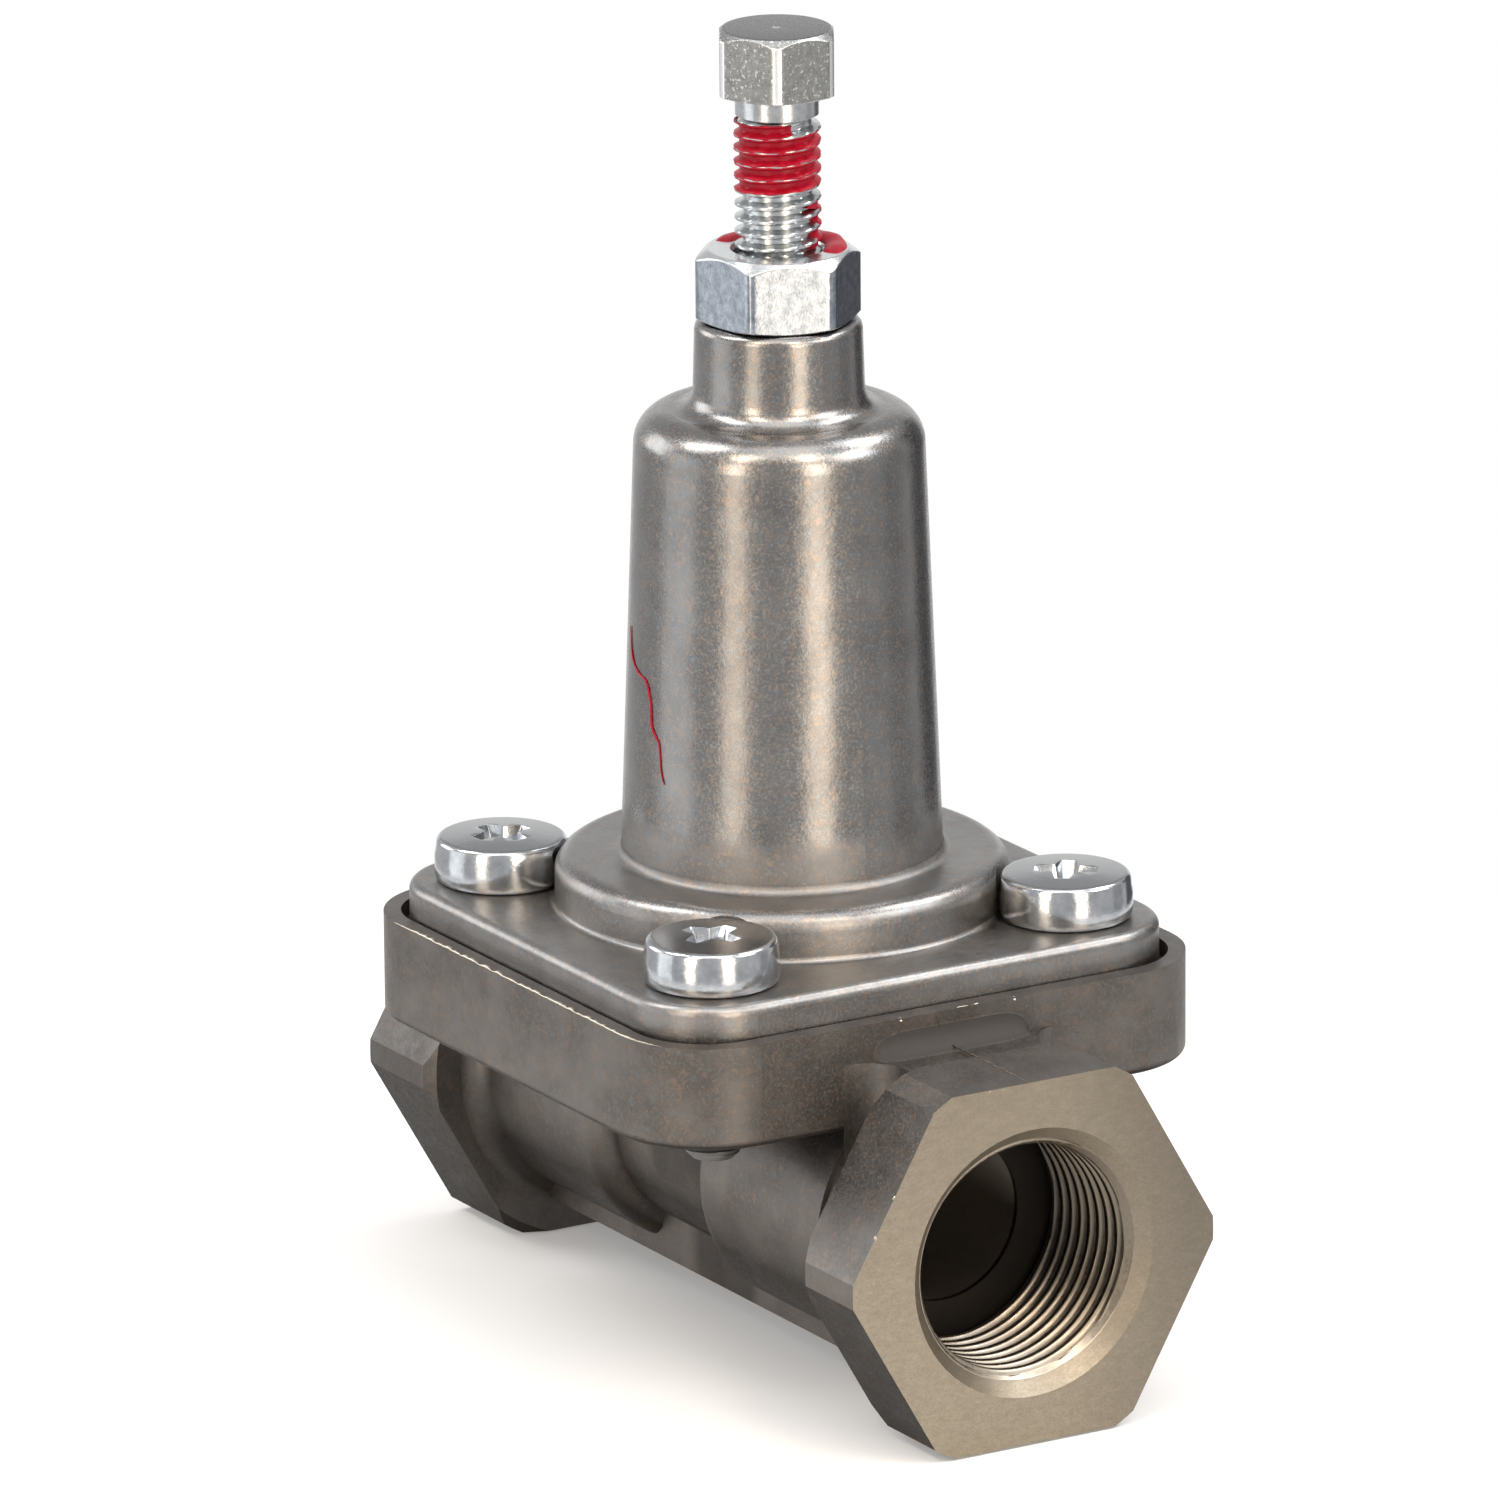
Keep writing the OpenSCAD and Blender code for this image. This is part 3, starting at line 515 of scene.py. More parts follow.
def head_painted_light(n, shade, roughness):
    """Painted light on the adjusting screw's head: painted glints on its faces, painted highlights on its
    smoother corners and on its centre mark, and painted shade on its top.
    """
    x, y, _ = n.axes()
    radius = n.length(x, y)
    # Painted shade on the top
    top = n.math("GREATER_THAN", n.up(), 0.92)
    # Painted highlight on the corners
    corner = n.product(n.spread(radius, 5.535, 5.555), n.math("LESS_THAN", n.up(), 0.5))
    # Painted highlight on the centre mark
    spot = n.product(top, n.math("LESS_THAN", radius, 0.44))
    # Painted glints scattered over the faces
    painted_glints = n.spread(n.noise(n.place(), 3.4, 2, 0.5), 0.60, 0.64, 0.0, 0.7)
    shade = n.mix(painted_glints, shade, (0.80, 0.81, 0.80))
    shade = n.mix(top, shade, (0.165, 0.165, 0.163))
    shade = n.mix(spot, shade, (0.85, 0.85, 0.85))
    shade = n.mix(corner, shade, (0.95, 0.95, 0.94))
    return shade, n.mix(corner, roughness, 0.3, "FLOAT")


def nut_painted_light(n, shade, roughness):
    """Painted light: the nut is brighter where it faces up."""
    return n.mix(n.spread(n.up(), 0.25, 0.5), shade, (0.66, 0.67, 0.68)), roughness


def shaded_tops_dark_ends(n, shade, roughness):
    """Painted shade on the tops of the cover screws' heads, and darker, duller plating on their ends
    below the flange.
    """
    _, _, z = n.axes()
    # Painted shade on the heads' tops
    top = n.product(n.spread(n.up(), 0.80, 0.95), n.math("GREATER_THAN", z, PLATE_Z + 2.0))
    # The ends below the flange are darker and rougher
    low = n.spread(z, FLANGE_UNDER_Z + 1.5, FLANGE_UNDER_Z)
    shade = n.mix(top, shade, (0.30, 0.305, 0.31))
    return n.mix(low, shade, (0.16, 0.16, 0.155)), n.mix(low, roughness, 0.5, "FLOAT")


def lacquer():
    """Red sealing lacquer, also used for the fibre."""
    n = Nodes("lacquer")
    cloud = n.noise(n.place(), 1.4, 4, 0.6)
    color = n.mix(n.spread(cloud, 0.35, 0.65), (0.225, 0.0015, 0.010), (0.31, 0.003, 0.017))
    n.shader.inputs["Specular IOR Level"].default_value = 0.2
    return n.finish(color, n.spread(cloud, 0.3, 0.7, 0.30, 0.45), n.bump(cloud, 0.03), 0.0)


def plain(name, color, dark, roughness, metallic=1.0, scale=2.0, depth=0.01):
    """A machined, pressed or moulded inner part."""
    n = Nodes(name)
    cloud = n.noise(n.place(), scale, 5, 0.6)
    shade = n.mix(n.spread(cloud, 0.3, 0.7), dark, color)
    rough = n.spread(cloud, 0.3, 0.7, roughness * 0.85, roughness * 1.15)
    return n.finish(shade, rough, n.bump(cloud, depth), metallic)


CAST_BODY = cast_body()
CAST_COVER = cast_cover()
TURNED_THREAD = turned_thread()
ZINC_SCREWS = zinc("zinc_screws", (0.56, 0.575, 0.59), (0.40, 0.42, 0.44), 0.10, 0.19, painted_light_and_tone=shaded_tops_dark_ends)
ZINC_NUT = zinc("zinc_nut", (0.45, 0.48, 0.52), (0.25, 0.28, 0.32), 0.14, 0.26, 0.012, 1.3, nut_painted_light)
ZINC_HEAD = zinc("zinc_head", (0.39, 0.395, 0.385), (0.26, 0.265, 0.26), 0.24, 0.38, 0.02, 1.4, head_painted_light)
ZINC_THREAD = zinc("zinc_thread", (0.62, 0.635, 0.645), (0.42, 0.435, 0.44), 0.17, 0.27)
SPRING_STEEL = plain("spring_steel", (0.30, 0.31, 0.33), (0.20, 0.21, 0.23), 0.42)
CHECK_STEEL = plain("check_spring_steel", (0.62, 0.63, 0.64), (0.50, 0.51, 0.52), 0.26)
LACQUER = lacquer()
SEAM = plain("seam", (0.24, 0.205, 0.175), (0.15, 0.13, 0.115), 0.45)
BARE_EDGE = plain("bare_edge", (0.62, 0.56, 0.46), (0.42, 0.37, 0.30), 0.30)


def dress_nodes():
    """Give each node of the CAD model its material."""
    looks = {
        "valve_body": CAST_BODY,
        "cover": CAST_COVER,
        "cover_screws": ZINC_SCREWS,
        "adjusting_screw": ZINC_THREAD,
        "lock_nut": ZINC_NUT,
        "thrust_ball": plain("ball_steel", (0.72, 0.73, 0.75), (0.62, 0.63, 0.65), 0.14),
        "upper_spring_seat": plain("seat_steel", (0.60, 0.58, 0.46), (0.46, 0.44, 0.36), 0.38),
        "pressure_spring": SPRING_STEEL,
        "pressure_piston": plain("turned_aluminium", (0.66, 0.66, 0.65), (0.55, 0.55, 0.55), 0.32),
        "piston_guide_ring": plain("guide_plastic", (0.84, 0.82, 0.76), (0.72, 0.70, 0.64), 0.5, 0.0),
        "pressure_plate": plain("plate_steel", (0.60, 0.60, 0.58), (0.48, 0.48, 0.47), 0.34),
        "diaphragm": plain("rubber", (0.035, 0.035, 0.038), (0.02, 0.02, 0.022), 0.62, 0.0, 4.0, 0.03),
        "valve_seat": plain("brass", (0.72, 0.56, 0.26), (0.60, 0.46, 0.20), 0.3),
        "check_plate": plain("check_aluminium", (0.30, 0.295, 0.285), (0.22, 0.215, 0.21), 0.5),
        "check_pin": plain("pin_aluminium", (0.34, 0.335, 0.325), (0.25, 0.245, 0.24), 0.5),
        "check_spring": CHECK_STEEL,
        "check_retainer": plain("retainer_steel", (0.60, 0.57, 0.44), (0.48, 0.46, 0.36), 0.36),
        "snap_ring": plain("ring_steel", (0.34, 0.35, 0.37), (0.24, 0.25, 0.27), 0.4),
    }
    looks["check_seal"] = looks["seat_seal"] = looks["diaphragm"]
    for name, material in looks.items():
        slots = frame["nodes"][name].data.materials
        slots.clear()
        slots.append(material)


# Pieces that replace nodes or lie on them
def apply_modifiers(piece):
    """Put the result of a piece's modifiers into its mesh."""
    view = bpy.context.evaluated_depsgraph_get()
    mesh = bpy.data.meshes.new_from_object(piece.evaluated_get(view))
    piece.modifiers.clear()
    piece.data = mesh


def soften(piece, width, angle):
    """Round the edges of a piece that are sharper than an angle."""
    soft = piece.modifiers.new("soft", "BEVEL")
    soft.width = width * MM
    soft.segments = 2
    soft.limit_method = "ANGLE"
    soft.angle_limit = radians(angle)
    apply_modifiers(piece)


def adjuster():
    """Adjusting screw: a stem with its real thread and plain neck, and a turned hexagon head."""
    head_z = HEAD_TOP_Z - ADJUSTER_HEAD_H
    neck_z = head_z - ADJUSTER_NECK_H
    dog_r, dog_top = ADJUSTER_THREAD_R - 1.0, TIP_Z + 2.2
    angles = around(96)
    dog = ((dog_r - 0.3, TIP_Z), (dog_r, TIP_Z + 0.3), (dog_r, dog_top))
    rings = [circle_ring(r, z, angles) for r, z in dog]
    rings += thread_rings(
        angles, dog_top + 1.0, neck_z, ADJUSTER_PITCH, ADJUSTER_THREAD_R, start=ADJUSTER_PHASE
    )
    rings += [circle_ring(ADJUSTER_NECK_R, z, angles) for z in (neck_z + 0.25, head_z + 0.5)]
    stem = skin("adjuster_stem", rings, ZINC_THREAD, 28)
    corner = radians(HEAD_CORNER)
    angles = around(144, corner)
    centre_mark = ((0.42, 0.02), (0.30, 0.14), (0.02, 0.16))
    rings = [circle_ring(ADJUSTER_NECK_R - 0.2, head_z, angles)]
    rings += hexagon_rings(ADJUSTER_AF, head_z, HEAD_TOP_Z - 0.03, corner, angles, 0.2, 0.75, 0.2)
    rings.append(circle_ring(ADJUSTER_AF / 2 * 0.9, HEAD_TOP_Z, angles))
    rings += [circle_ring(r, HEAD_TOP_Z - depth, angles) for r, depth in centre_mark]
    head = skin("adjuster_head", rings, ZINC_HEAD, 24)
    soften(head, 0.07, 17)
    for piece in (stem, head):
        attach(piece, "screw")
        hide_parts("adjusting_screw")


def nut():
    """Lock nut with turned corners at both ends and countersinks in its thread."""
    corner = radians(NUT_CORNER)
    angles = around(144, corner)
    hole_r = ADJUSTER_THREAD_R + 0.08
    sink_r, sink_depth = hole_r + 0.35, 0.5
    rings = [circle_ring(sink_r, NUT_Z, angles)]
    rings += hexagon_rings(NUT_AF, NUT_Z, NUT_TOP_Z, corner, angles, 0.4, 0.95, 0.12)
    rings.append(circle_ring(sink_r, NUT_TOP_Z, angles))
    rings += [circle_ring(hole_r, z, angles) for z in (NUT_TOP_Z - sink_depth, NUT_Z + sink_depth)]
    piece = skin("nut", rings, ZINC_NUT, 28, joined=True)
    soften(piece, 0.09, 17)
    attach(piece, "nut")
    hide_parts("lock_nut")


def coil_rings(low, high, mean_r, wire, turns):
    """Rings of a coil spring along +Z with closed, ground ends."""
    steps, closed = 40, 1.03 * wire
    count = int(turns * steps)
    active = (high - low - 0.5 * wire - 2 * closed) / (turns - 2)
    rises = []
    for i in range(count):
        t = min(i, count - i) / steps
        rises.append(closed + (active - closed) * soft_step((t - 0.75) / 0.5))
    scale = (high - low - 0.5 * wire) / (sum(rises) / steps)
    z, rings = low + 0.25 * wire, []
    for i in range(count + 1):
        a = 2 * pi * i / steps
        ring = []
        for b in around(14):
            level = z + wire / 2 * sin(b)
            ring.append(at(mean_r + wire / 2 * cos(b), a, min(high, max(low, level))))
        rings.append(ring)
        z += rises[min(i, count - 1)] / steps * scale
    return rings


def springs():
    """Pressure spring in two stretches that meet part-way up, and the check's spring."""
    low, high = SPRING_Z
    rings = coil_rings(low, high, SPRING_R, SPRING_WIRE, 6)
    middle = next(i for i, ring in enumerate(rings) if ring[0][2] > low + 7.5)
    stretches = (
        ("pressure_spring_foot", rings[:middle + 1], "piston", "housing", (low + 2.0, low + 7.0)),
        ("pressure_spring", rings[middle:], "housing", "spring_seat", (low + 9.0, high - 1.0)),
    )
    for name, part, first, second, ends in stretches:
        piece = skin(name, part, SPRING_STEEL, 60)
        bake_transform(piece)
        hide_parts("pressure_spring")
    near, far = CHECK_SPRING_X
    rings = coil_rings(near, far, CHECK_SPRING_R, CHECK_WIRE, 5)
    rings = [[(-z, y, AXIS_Z + x) for x, y, z in ring] for ring in rings]
    piece = skin("check_spring", rings, CHECK_STEEL, 60)
    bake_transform(piece)
    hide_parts("check_spring")


def adjuster_ridge(z, a):
    """Radius of the adjuster's thread at a height and an angle."""
    phase = z / ADJUSTER_PITCH - a / (2 * pi) - ADJUSTER_PHASE
    root_r = root_radius(ADJUSTER_THREAD_R, ADJUSTER_PITCH)
    return root_r + (ADJUSTER_THREAD_R - root_r) * ridge(phase, THREAD_CREST, THREAD_ROOT)


def world_angle(turn):
    """Angle from +X of a direction that is given in degrees to the right of the camera."""
    return radians(turn - CAMERA_TURN)


def lacquer_piece(name, rings, body):
    """Piece of lacquer that rides on a body."""
    piece = skin(name, rings, LACQUER, 60)
    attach(piece, body)


def lacquer_band():
    """Sealing lacquer that fills the thread's groove over some turns; the ridge is rubbed bare."""
    start, turns, low_turn = world_angle(-118), 4.394, 83.5
    steps, across = int(turns * 96), 12
    rings = []
    for i in range(steps + 1):
        a = start + 2 * pi * turns * i / steps
        middle = ADJUSTER_PITCH * (low_turn + ADJUSTER_PHASE + a / (2 * pi))
        wobble = 0.03 * sin(7.3 * a) + 0.022 * sin(17.1 * a + 1.0)
        end = min(1.0, i / 7, (steps - i) / 4)
        half = (0.475 + wobble) * ADJUSTER_PITCH * (0.6 + 0.4 * end)
        outer, inner = [], []
        for j in range(across + 1):
            share = 2 * j / across - 1
            z = middle + share * half
            ground = adjuster_ridge(z, a)
            thickness = (0.06 * (1 - share ** 6) + 0.24 * (1 - share * share) ** 2) * end + 0.004
            outer.append(at(ground + thickness, a, z))
            inner.append(at(ground - 0.12, a, z))
        rings.append(outer + inner[::-1])
    lacquer_piece("lacquer_on_thread", rings, "screw")


def lacquer_pool():
    """Pool of lacquer behind the screw on the nut's top, with soft ends."""
    first, last = world_angle(62), world_angle(250)
    middle_r, half, thickness = 5.125, 1.175, 0.6
    steps = 48
    rings = []
    for i in range(steps + 1):
        share = i / steps
        a = first + (last - first) * share
        swell = sin(pi * share) ** 0.45 if 0 < share < 1 else 0.0
        swell = max(0.02, swell * (0.86 + 0.14 * sin(9 * a + 0.4)))
        ring = []
        for b in around(10):
            r = middle_r + half * cos(b) * (0.55 + 0.45 * swell)
            rise = thickness * swell * max(0.0, sin(b)) - 0.06 * max(0.0, -sin(b))
            ring.append(at(r, a, NUT_TOP_Z + rise))
        rings.append(ring)
    lacquer_piece("lacquer_on_nut", rings, "nut")


def lacquer_smear():
    """Smear of lacquer that runs down the thread from the band to the nut."""
    rows, columns = 30, 10
    z0, z1 = NUT_TOP_Z + 0.2, NUT_TOP_Z + 4.6
    rings = []
    for i in range(rows + 1):
        share = i / rows
        z = z0 + (z1 - z0) * share
        blob = max(0.0, 1 - abs(share - 0.88) / 0.12)
        spread = 11 + 22 * (1 - share) ** 2 + 18 * blob
        outer, inner = [], []
        for j in range(columns + 1):
            edge = 2 * j / columns - 1
            a = world_angle(92 + spread * edge - 20 * blob)
            ground = adjuster_ridge(z, a)
            outer.append(at(max(ground, ADJUSTER_THREAD_R - 0.3) + 0.055 * (1 - edge ** 4), a, z))
            inner.append(at(ground - 0.1, a, z))
        rings.append(outer + inner[::-1])
    lacquer_piece("lacquer_smear", rings, "screw")


def cross_cutter(name, turn):
    """Tapered cross with a pointed middle that cuts the driver's recess."""
    above, depth, reach, arm = 1.0, 2.9, 3.45, 0.78
    core, pinch, floor_share = 1.55, 0.82, 0.34
    bm = bmesh.new()
    outline = []
    for k in range(4):
        a = k * pi / 2 + turn
        forward, side = Vector((cos(a), sin(a), 0)), Vector((-sin(a), cos(a), 0))
        outline += [forward * reach - side * arm, forward * reach + side * arm]
        outline += [(forward + side) * core * pinch]
    upper = [bm.verts.new(p * MM + Vector((0, 0, above * MM))) for p in outline]
    lower = [bm.verts.new(p * floor_share * MM + Vector((0, 0, -depth * MM))) for p in outline]
    n = len(outline)
    bm.faces.new(upper)
    bm.faces.new(lower[::-1])
    for j in range(n):
        bm.faces.new((upper[j], lower[j], lower[(j + 1) % n], upper[(j + 1) % n]))
    bmesh.ops.recalc_face_normals(bm, faces=bm.faces)
    return object_from(name, bm)


def pan_head(angles):
    """Rings of a pan head, from its underside on the plate to the middle of its crowned top."""
    height, head_r = COVER_SCREW_TOP_Z - PLATE_Z, COVER_SCREW_HEAD_R
    crown, round_r = 0.28, 0.6
    profile = [(head_r - 0.35, 0.02), (head_r - 0.1, 0.25), (head_r, 0.7)]
    profile += [(head_r, height * 0.55), (head_r - 0.12, height * 0.68)]
    for k in range(1, 7):
        a = pi / 2 * k / 6
        r = head_r - 0.18 - round_r * (1 - cos(a))
        profile.append((r, height - crown - round_r * (1 - sin(a)) * 0.9))
    for share in (0.62, 0.35, 0.1, 0.01):
        profile.append(((head_r - 1.1) * share, height - crown * share ** 2))
    return [circle_ring(r, PLATE_Z + z, angles) for r, z in profile]


def cover_screw(name, x, y, turn):
    """Pan-head cover screw with a cross recess and a threaded end."""
    angles = around(72, turn)
    tip = PLATE_Z - COVER_SCREW_LEN
    root_r = root_radius(COVER_SCREW_R, COVER_SCREW_PITCH)
    rings = [circle_ring(root_r - 0.5, tip, angles), circle_ring(root_r, tip + 0.5, angles)]
    rings += thread_rings(angles, tip + 0.6, tip + 5.6, COVER_SCREW_PITCH, COVER_SCREW_R, 10)
    rings += [circle_ring(COVER_SCREW_R - 0.1, z, angles) for z in (tip + 5.9, PLATE_Z + 0.02)]
    rings += pan_head(angles)
    piece = skin(name, rings, ZINC_SCREWS, 40)
    cutter = cross_cutter(name + "_cutter", turn)
    cutter.location.z = COVER_SCREW_TOP_Z * MM
    bpy.context.view_layer.update()
    cut = piece.modifiers.new("recess", "BOOLEAN")
    cut.operation = "DIFFERENCE"
    cut.solver = "EXACT"
    cut.object = cutter
    apply_modifiers(piece)
    bpy.data.objects.remove(cutter)
    soften(piece, 0.08, 42)
    piece.data.set_sharp_from_angle(angle=radians(40))
    piece.data.transform(Matrix.Translation((x * MM, y * MM, 0)))
    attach(piece, "housing")
    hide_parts("cover_screws")


def cover_screws():
    """Four cover screws, each turned its own way, in radians."""
    half = COVER_SCREW_SPACING / 2
    places = {"front": (1, -1, 0.35), "right": (1, 1, 0.9), "left": (-1, -1, 0.15), "back": (-1, 1, 0.6)}
    for name, (sx, sy, turn) in places.items():
        cover_screw("cover_screw_" + name, sx * half, sy * half, turn)


def port_thread(name, side):
    """Inside thread of a port, between the chamfer and the end of the threaded wall."""
    angles = around(240)
    end = PORT_THREAD_END + 0.7
    root_r, shell_r = PORT_THREAD_R - 0.03, PORT_THREAD_R - 0.005
    depth, rows = 0.66, 18
    count = ceil((PORT_MOUTH - end) / PORT_THREAD_PITCH * rows)
    rings = []
    for i in range(count + 1):
        x = end + (PORT_MOUTH - end) * i / count
        room = min(depth, 0.02 + (PORT_MOUTH - x), 0.02 + (x - end) * 0.6)
        ring = []
        for a in angles:
            rise = depth * ridge(x / PORT_THREAD_PITCH + a / (2 * pi), 0.30, 0.14)
            ring.append(at(root_r - min(rise, room), a, x))
        rings.append(ring)
    rings += [circle_ring(shell_r, x, angles) for x in (PORT_MOUTH, end)]
    rings = [[(side * x, side * y, AXIS_Z + z) for y, z, x in ring] for ring in rings]
    piece = skin(name, rings, TURNED_THREAD, 50, joined=True)
    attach(piece, "housing")


def tube(name, path, radii, material, sides=8):
    """Round strand on the housing through points in millimetres, with a radius at each point."""
    rings = []
    for i, p in enumerate(path):
        ahead = Vector(path[min(i + 1, len(path) - 1)]) - Vector(path[max(i - 1, 0)])
        ahead.normalize()
        side = ahead.cross(Vector((0, 0, 1)) if abs(ahead.z) < 0.9 else Vector((1, 0, 0))).normalized()
        other = ahead.cross(side)
        rings.append([Vector(p) + (side * cos(a) + other * sin(a)) * radii[i] for a in around(sides)])
    piece = skin(name, rings, material, 80)
    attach(piece, "housing")


def smooth_path(points, steps):
    """Points of a curve that passes softly through the given ones."""
    path = []
    last = len(points) - 1
    for i in range(last):
        p0, p1, p2, p3 = (Vector(points[min(max(k, 0), last)]) for k in (i - 1, i, i + 1, i + 2))
        bend, twist = 2 * p0 - 5 * p1 + 4 * p2 - p3, 3 * p1 - p0 - 3 * p2 + p3
        for j in range(steps):
            t = j / steps
            path.append(0.5 * (2 * p1 + (p2 - p0) * t + bend * t * t + twist * t ** 3))
    path.append(Vector(points[-1]))
    return path


def red_fibre():
    """Thin red fibre that clings to the dome."""
    spots = []
    for turn, z in FIBRE:
        dome_r = DOME_FOOT_R - DOME_TAPER * (z - DOME_FOOT_Z)
        spots.append(at(dome_r + 0.05, world_angle(turn), z))
    path = smooth_path(spots, 10)
    last = len(path) - 1
    radii = [0.045 + 0.06 * sin(pi * i / last) for i in range(last + 1)]
    tube("red_fibre", path, radii, LACQUER)


def rim_point(distance, inset):
    """Point on the flange's upper edge, counted from the middle of its -Y side towards +X."""
    straight = FLANGE_HALF - FLANGE_CORNER_R
    arc = FLANGE_CORNER_R * pi / 2
    r = FLANGE_CORNER_R - inset
    if distance < straight:
        return distance, inset - FLANGE_HALF
    if distance < straight + arc:
        a = (distance - straight) / FLANGE_CORNER_R - pi / 2
        return straight + r * cos(a), r * sin(a) - straight
    return FLANGE_HALF - inset, distance - arc - 2 * straight


def flash(name, first, last, size, seed):
    """Ragged line of casting flash along the upper edge of the flange."""
    count = ceil((last - first) / 0.35)
    path, radii = [], []
    for i in range(count + 1):
        share = i / count
        distance = first + (last - first) * share
        coarse = noise.noise(Vector((distance * 0.9, seed, 0.0)))
        fine = noise.noise(Vector((distance * 2.7, 0.0, seed)))
        ends = min(1.0, 0.2 + 9 * share, 0.2 + 9 * (1 - share))
        r = size * max(0.35, 1 + 1.1 * (coarse + 0.6 * fine)) * ends
        x, y = rim_point(distance, 0.10 + r)
        path.append((x, y, RIM_Z - 0.02 + 0.25 * r))
        radii.append(r)
    tube(name, path, radii, BARE_EDGE, 7)


def chip(name, spot, outward, size, seed):
    """Small bruise where the skin is knocked back to bare metal."""
    turn = Vector(outward).to_track_quat("Z", "Y")
    rings = []
    for ring_share, rise in ((1.0, 0.0), (0.6, 0.7), (0.15, 1.0)):
        ring = []
        for a in around(9):
            r = size * ring_share * (1 + 0.45 * noise.noise(Vector((2 * cos(a), 2 * sin(a), seed))))
            ring.append(Vector(spot) + turn @ Vector(at(r, a, size * 0.3 * rise)))
        rings.append(ring)
    piece = skin(name, rings, BARE_EDGE, 50)
    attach(piece, "housing")


def bridge_fillet(name, side):
    """Soft cast corner between a hexagon's flat and the flange, which dies out at both ends."""
    half, largest, steps, arc = 8.0, 2.2, 48, 8
    base, wall, sunk = HEX_TOP_Z - 0.34, FLANGE_HALF, 0.2
    rings = []
    for i in range(steps + 1):
        share = 2 * i / steps - 1
        r = largest * max(0.0, 1 - abs(share) ** 7) ** 0.5 + 0.02
        outline = [(wall - sunk, base - sunk), (wall - sunk, base + r)]
        for k in range(arc + 1):
            a = pi / 2 * k / arc
            outline.append((wall + r * (1 - cos(a)), base + r * (1 - sin(a))))
        outline.append((wall + r, base - sunk))
        rings.append([(side * x, half * share, z) for x, z in outline])
    piece = skin(name, rings, CAST_BODY, 50)
    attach(piece, "housing")


def neck_fillet():
    """Cast fillet where the tapered neck stands on the dome."""
    size, arc, sunk, proud = 1.8, 10, 0.2, 0.01
    outline = [(-sunk, size), (-sunk, -sunk), (size, -sunk)]
    for k in range(arc + 1):
        a = pi / 2 * k / arc
        rise = size * (1 - cos(a))
        outline.append((size * (1 - sin(a)) - NECK_TAPER * rise + proud, rise + proud))
    angles = around(144)
    rings = [circle_ring(NECK_FOOT_R + out, NECK_FOOT_Z + rise, angles) for out, rise in outline]
    piece = skin("neck_foot_fillet", rings, CAST_COVER, 50, joined=True)
    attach(piece, "housing")


def wear_marks():
    """Flash, bruises and the die's parting line on the body."""
    flash("flash_front", -20.2, 24.5, 0.13, 3.1)
    flash("flash_side", 53.5, 56.0, 0.05, 8.2)
    for index, (y, size) in enumerate(RIM_CHIPS):
        spot = (FLANGE_HALF - 0.1, y, RIM_Z - 0.1)
        chip("rim_chip_%d" % index, spot, (1, 0, 1), size, index * 2.3)
    for index, (y, z, size) in enumerate(FACE_CHIPS):
        spot = (PORT_REACH - 0.14, y, z)
        chip("face_chip_%d" % index, spot, (0.15, y, z - AXIS_Z), size, index * 1.7)
    x0, x1, count = FLANGE_HALF + 0.25, PORT_REACH - 0.5, 30
    seam, radii = [], []
    for i in range(count + 1):
        seam.append((x0 + (x1 - x0) * i / count, PARTING_Y + 0.05 * sin(i * 1.3), HEX_TOP_Z + 0.005))
        radii.append(0.085 + 0.04 * noise.noise(Vector((i * 0.7, 2.0, 0.0))))
    tube("parting_line", seam, radii, SEAM, 6)
    side = [(FLANGE_HALF + 0.005, PARTING_Y - 1.1 + 0.16 * i, RIM_Z - 0.3 - 0.42 * i) for i in range(7)]
    tube("parting_line_side", side, [0.06] * len(side), SEAM, 6)


# Lamps, surroundings and camera
def light(name, energy, size, place, aim, color):
    """Rectangular lamp that the camera doesn't see; sizes and places are in metres."""
    data = bpy.data.lights.new(name, "AREA")
    data.shape = "RECTANGLE"
    data.size, data.size_y = size
    data.energy = energy
    data.color = color
    lamp = bpy.data.objects.new(name, data)
    lamp.location = place
    lamp.rotation_euler = (place - aim).to_track_quat("Z", "Y").to_euler()
    lamp.visible_camera = False
    bpy.context.scene.collection.objects.link(lamp)


def from_camera(turn, distance, height):
    """A place at a turn in degrees to the right of the camera, seen from above, in metres."""
    return Vector(at(distance, world_angle(turn), height))


def centre(height):
    """A place on the cover's axis, in metres."""
    return Vector((0, 0, height))


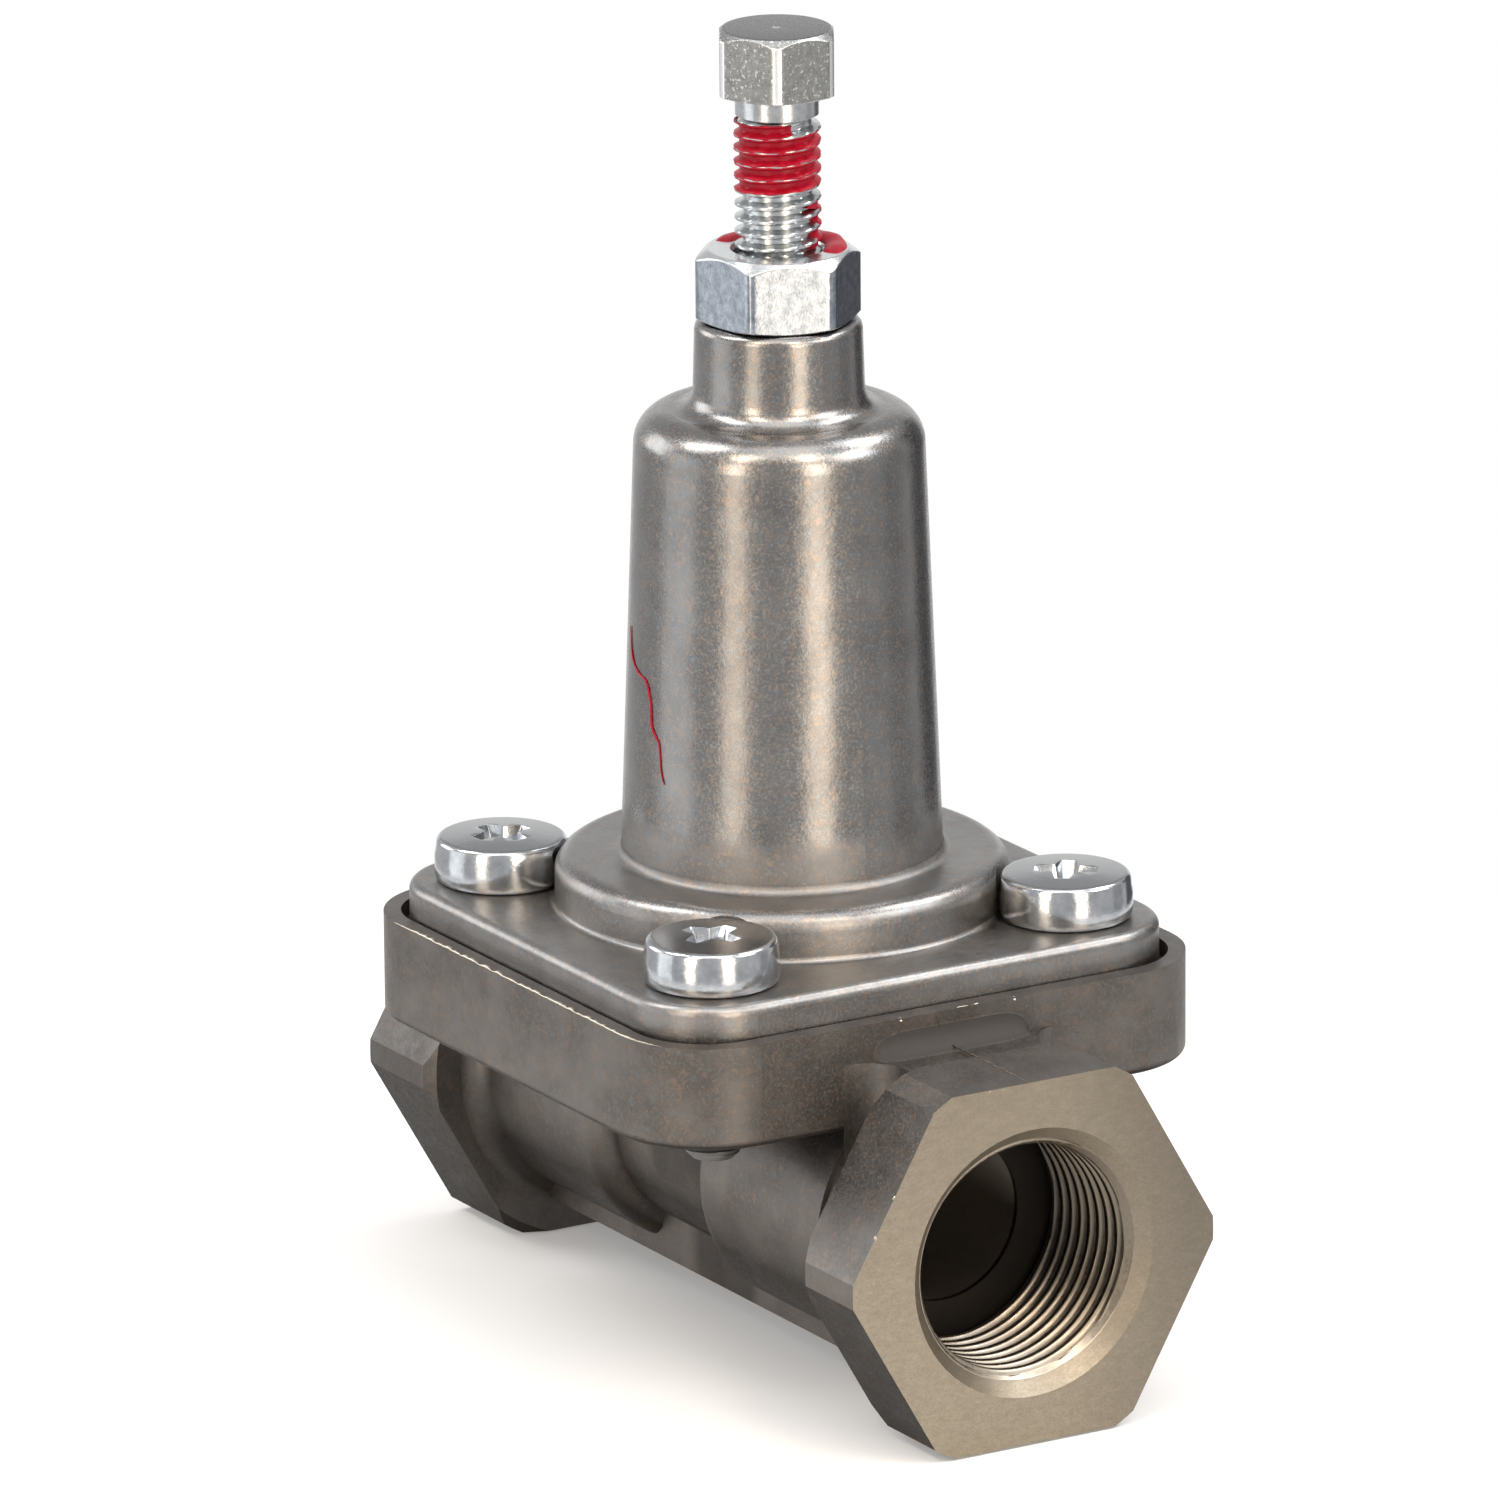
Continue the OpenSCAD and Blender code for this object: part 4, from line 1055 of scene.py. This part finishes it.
def studio():
    """Warm lamps on both sides of the camera, which streak the dome, and white lamps and grey cards."""
    aim = centre(0.06)
    warm, cool, white = (1.0, 0.85, 0.68), (0.96, 0.98, 1.0), (1, 1, 1)
    right, left = 28, -35
    low, high = -0.26, 0.32
    light("strip_right", 1.8, (0.29, 0.60), from_camera(right, 0.9, low), centre(low), warm)
    light("strip_left", 1.15, (0.25, 0.60), from_camera(left, 0.9, low), centre(low), warm)
    light("high_right", 2.8, (0.29, 0.50), from_camera(right, 0.9, high), centre(0.25), warm)
    light("high_left", 2.3, (0.25, 0.50), from_camera(left, 0.9, high), centre(0.25), warm)
    light("roof_right", 2.6, (0.26, 0.36), from_camera(right, 0.68, 0.82), aim, warm)
    light("roof_left", 2.6, (0.24, 0.36), from_camera(left, 0.68, 0.82), aim, warm)
    light("roof_far_left", 3.8, (0.36, 0.50), from_camera(-95, 0.62, 0.90), aim, white)
    light("roof_far_right", 3.6, (0.40, 0.40), from_camera(112, 0.62, 0.86), aim, white)
    light("fill_left", 1.5, (0.6, 0.9), from_camera(-84, 1.1, 0.05), aim, cool)
    light("back_left", 2.4, (0.5, 0.5), from_camera(-118, 1.0, 0.36), aim, white)
    light("far_right", 3.0, (0.5, 0.4), from_camera(70, 0.75, 0.64), aim, white)
    light("fill_top", 4.2, (0.9, 0.9), from_camera(10, 0.35, 1.2), aim, white)
    flag("flag_back", 140, 0.82, (0.13, 0.13, 0.14))
    flag("flag_side", 100, 0.62, (0.44, 0.44, 0.45))


def flag(name, turn, width, color):
    """Grey card beside or behind the object, which gives the metal its dark side."""
    bm = bmesh.new()
    bmesh.ops.create_grid(bm, x_segments=1, y_segments=1, size=0.5)
    card = object_from(name, bm, emission(name, color))
    card.location = from_camera(turn, 1.5, -0.05)
    card.scale = (width, 1.5, 1.0)
    card.rotation_euler = from_camera(turn, 1.5, 0).to_track_quat("Z", "Y").to_euler()
    card.visible_camera = False
    card.visible_shadow = False


def world():
    """White where the eye sees it, also in reflections, and an even grey light for matt surfaces."""
    n = Nodes("studio", bpy.data.worlds)
    n.tree.nodes.clear()
    grey = n.add("ShaderNodeBackground", {"Color": (0.80, 0.80, 0.81)})
    white = n.add("ShaderNodeBackground", {"Color": (1, 1, 1)})
    mix = n.add("ShaderNodeMixShader", {0: n.seen(), 1: grey.outputs[0], 2: white.outputs[0]})
    n.add("ShaderNodeOutputWorld", {"Surface": mix.outputs[0]})
    bpy.context.scene.world = n.owner


def emission(name, color):
    """Even glow of a card or a wall."""
    n = Nodes(name)
    n.tree.nodes.clear()
    glow = n.add("ShaderNodeEmission", {"Color": color})
    n.add("ShaderNodeOutputMaterial", {"Surface": glow.outputs[0]})
    return n.owner


def room():
    """Grey walls of the studio, which only light and reflections reach, open at the back."""
    radius, gap, ceiling = 2.4, radians(24), 1.5
    bm = bmesh.new()
    bmesh.ops.create_uvsphere(bm, u_segments=64, v_segments=32, radius=radius)
    behind = from_camera(180, 1, 0)
    middles = [(f, f.calc_center_median()) for f in bm.faces]
    opening = [f for f, c in middles if c.z < ceiling and c.normalized().dot(behind) > cos(gap)]
    bmesh.ops.delete(bm, geom=opening, context="FACES")
    walls = object_from("room", bm, emission("room_grey", (0.64, 0.64, 0.65)))
    walls.visible_camera = False
    walls.visible_shadow = False


def floor():
    """Pale round table that fades into the white background at its rim."""
    radius, clear = 0.15, 0.07
    n = Nodes("floor")
    n.tree.nodes.clear()
    here = n.add("ShaderNodeTexCoord").outputs["Object"]
    distance = n.add("ShaderNodeVectorMath", {0: here}, operation="LENGTH").outputs["Value"]
    rim = n.spread(distance, clear, radius * 0.97, 0.22, 1.0)
    glow = n.add("ShaderNodeEmission", {"Color": (1, 1, 1)})
    pale = n.add("ShaderNodeBsdfDiffuse", {"Color": (0.84, 0.84, 0.84)})
    share = n.product(rim, n.seen())
    mix = n.add("ShaderNodeMixShader", {0: share, 1: pale.outputs[0], 2: glow.outputs[0]})
    n.add("ShaderNodeOutputMaterial", {"Surface": mix.outputs[0]})
    bm = bmesh.new()
    bmesh.ops.create_circle(bm, cap_ends=True, segments=128, radius=radius)
    table = object_from("floor", bm, n.owner)
    table.location.z = -0.0002


def photo_camera():
    """Camera at the photograph's angle and distance, aimed at the fitted point."""
    turn, rise, roll = radians(CAMERA_TURN), radians(CAMERA_RISE), radians(CAMERA_ROLL)
    towards = Vector((cos(turn) * cos(rise), -sin(turn) * cos(rise), sin(rise)))
    right = Vector((sin(turn), cos(turn), 0))
    up = towards.cross(right)
    rolled_right = right * cos(roll) + up * sin(roll)
    rolled_up = up * cos(roll) - right * sin(roll)
    target = (Vector((0, 0, TARGET_Z)) + right * TARGET_SIDE) * MM
    data = bpy.data.cameras.new("photo_camera")
    data.lens = LENS
    data.sensor_width = SENSOR
    data.sensor_fit = "HORIZONTAL"
    data.clip_end = 20
    camera = bpy.data.objects.new("photo_camera", data)
    axes = Matrix((rolled_right, rolled_up, towards)).transposed().to_4x4()
    camera.matrix_world = Matrix.Translation(target + towards * CAMERA_DISTANCE * MM) @ axes
    bpy.context.scene.collection.objects.link(camera)
    bpy.context.scene.camera = camera


bpy.context.scene.view_settings.view_transform = "Standard"
photo_camera()
world()
room()
floor()
studio()
dress_nodes()
adjuster()
nut()
springs()
lacquer_band()
lacquer_pool()
lacquer_smear()
cover_screws()
red_fibre()
bridge_fillet("bridge_fillet_left", -1)
bridge_fillet("bridge_fillet_right", 1)
neck_fillet()
wear_marks()
port_thread("port_thread_left", -1)
port_thread("port_thread_right", 1)
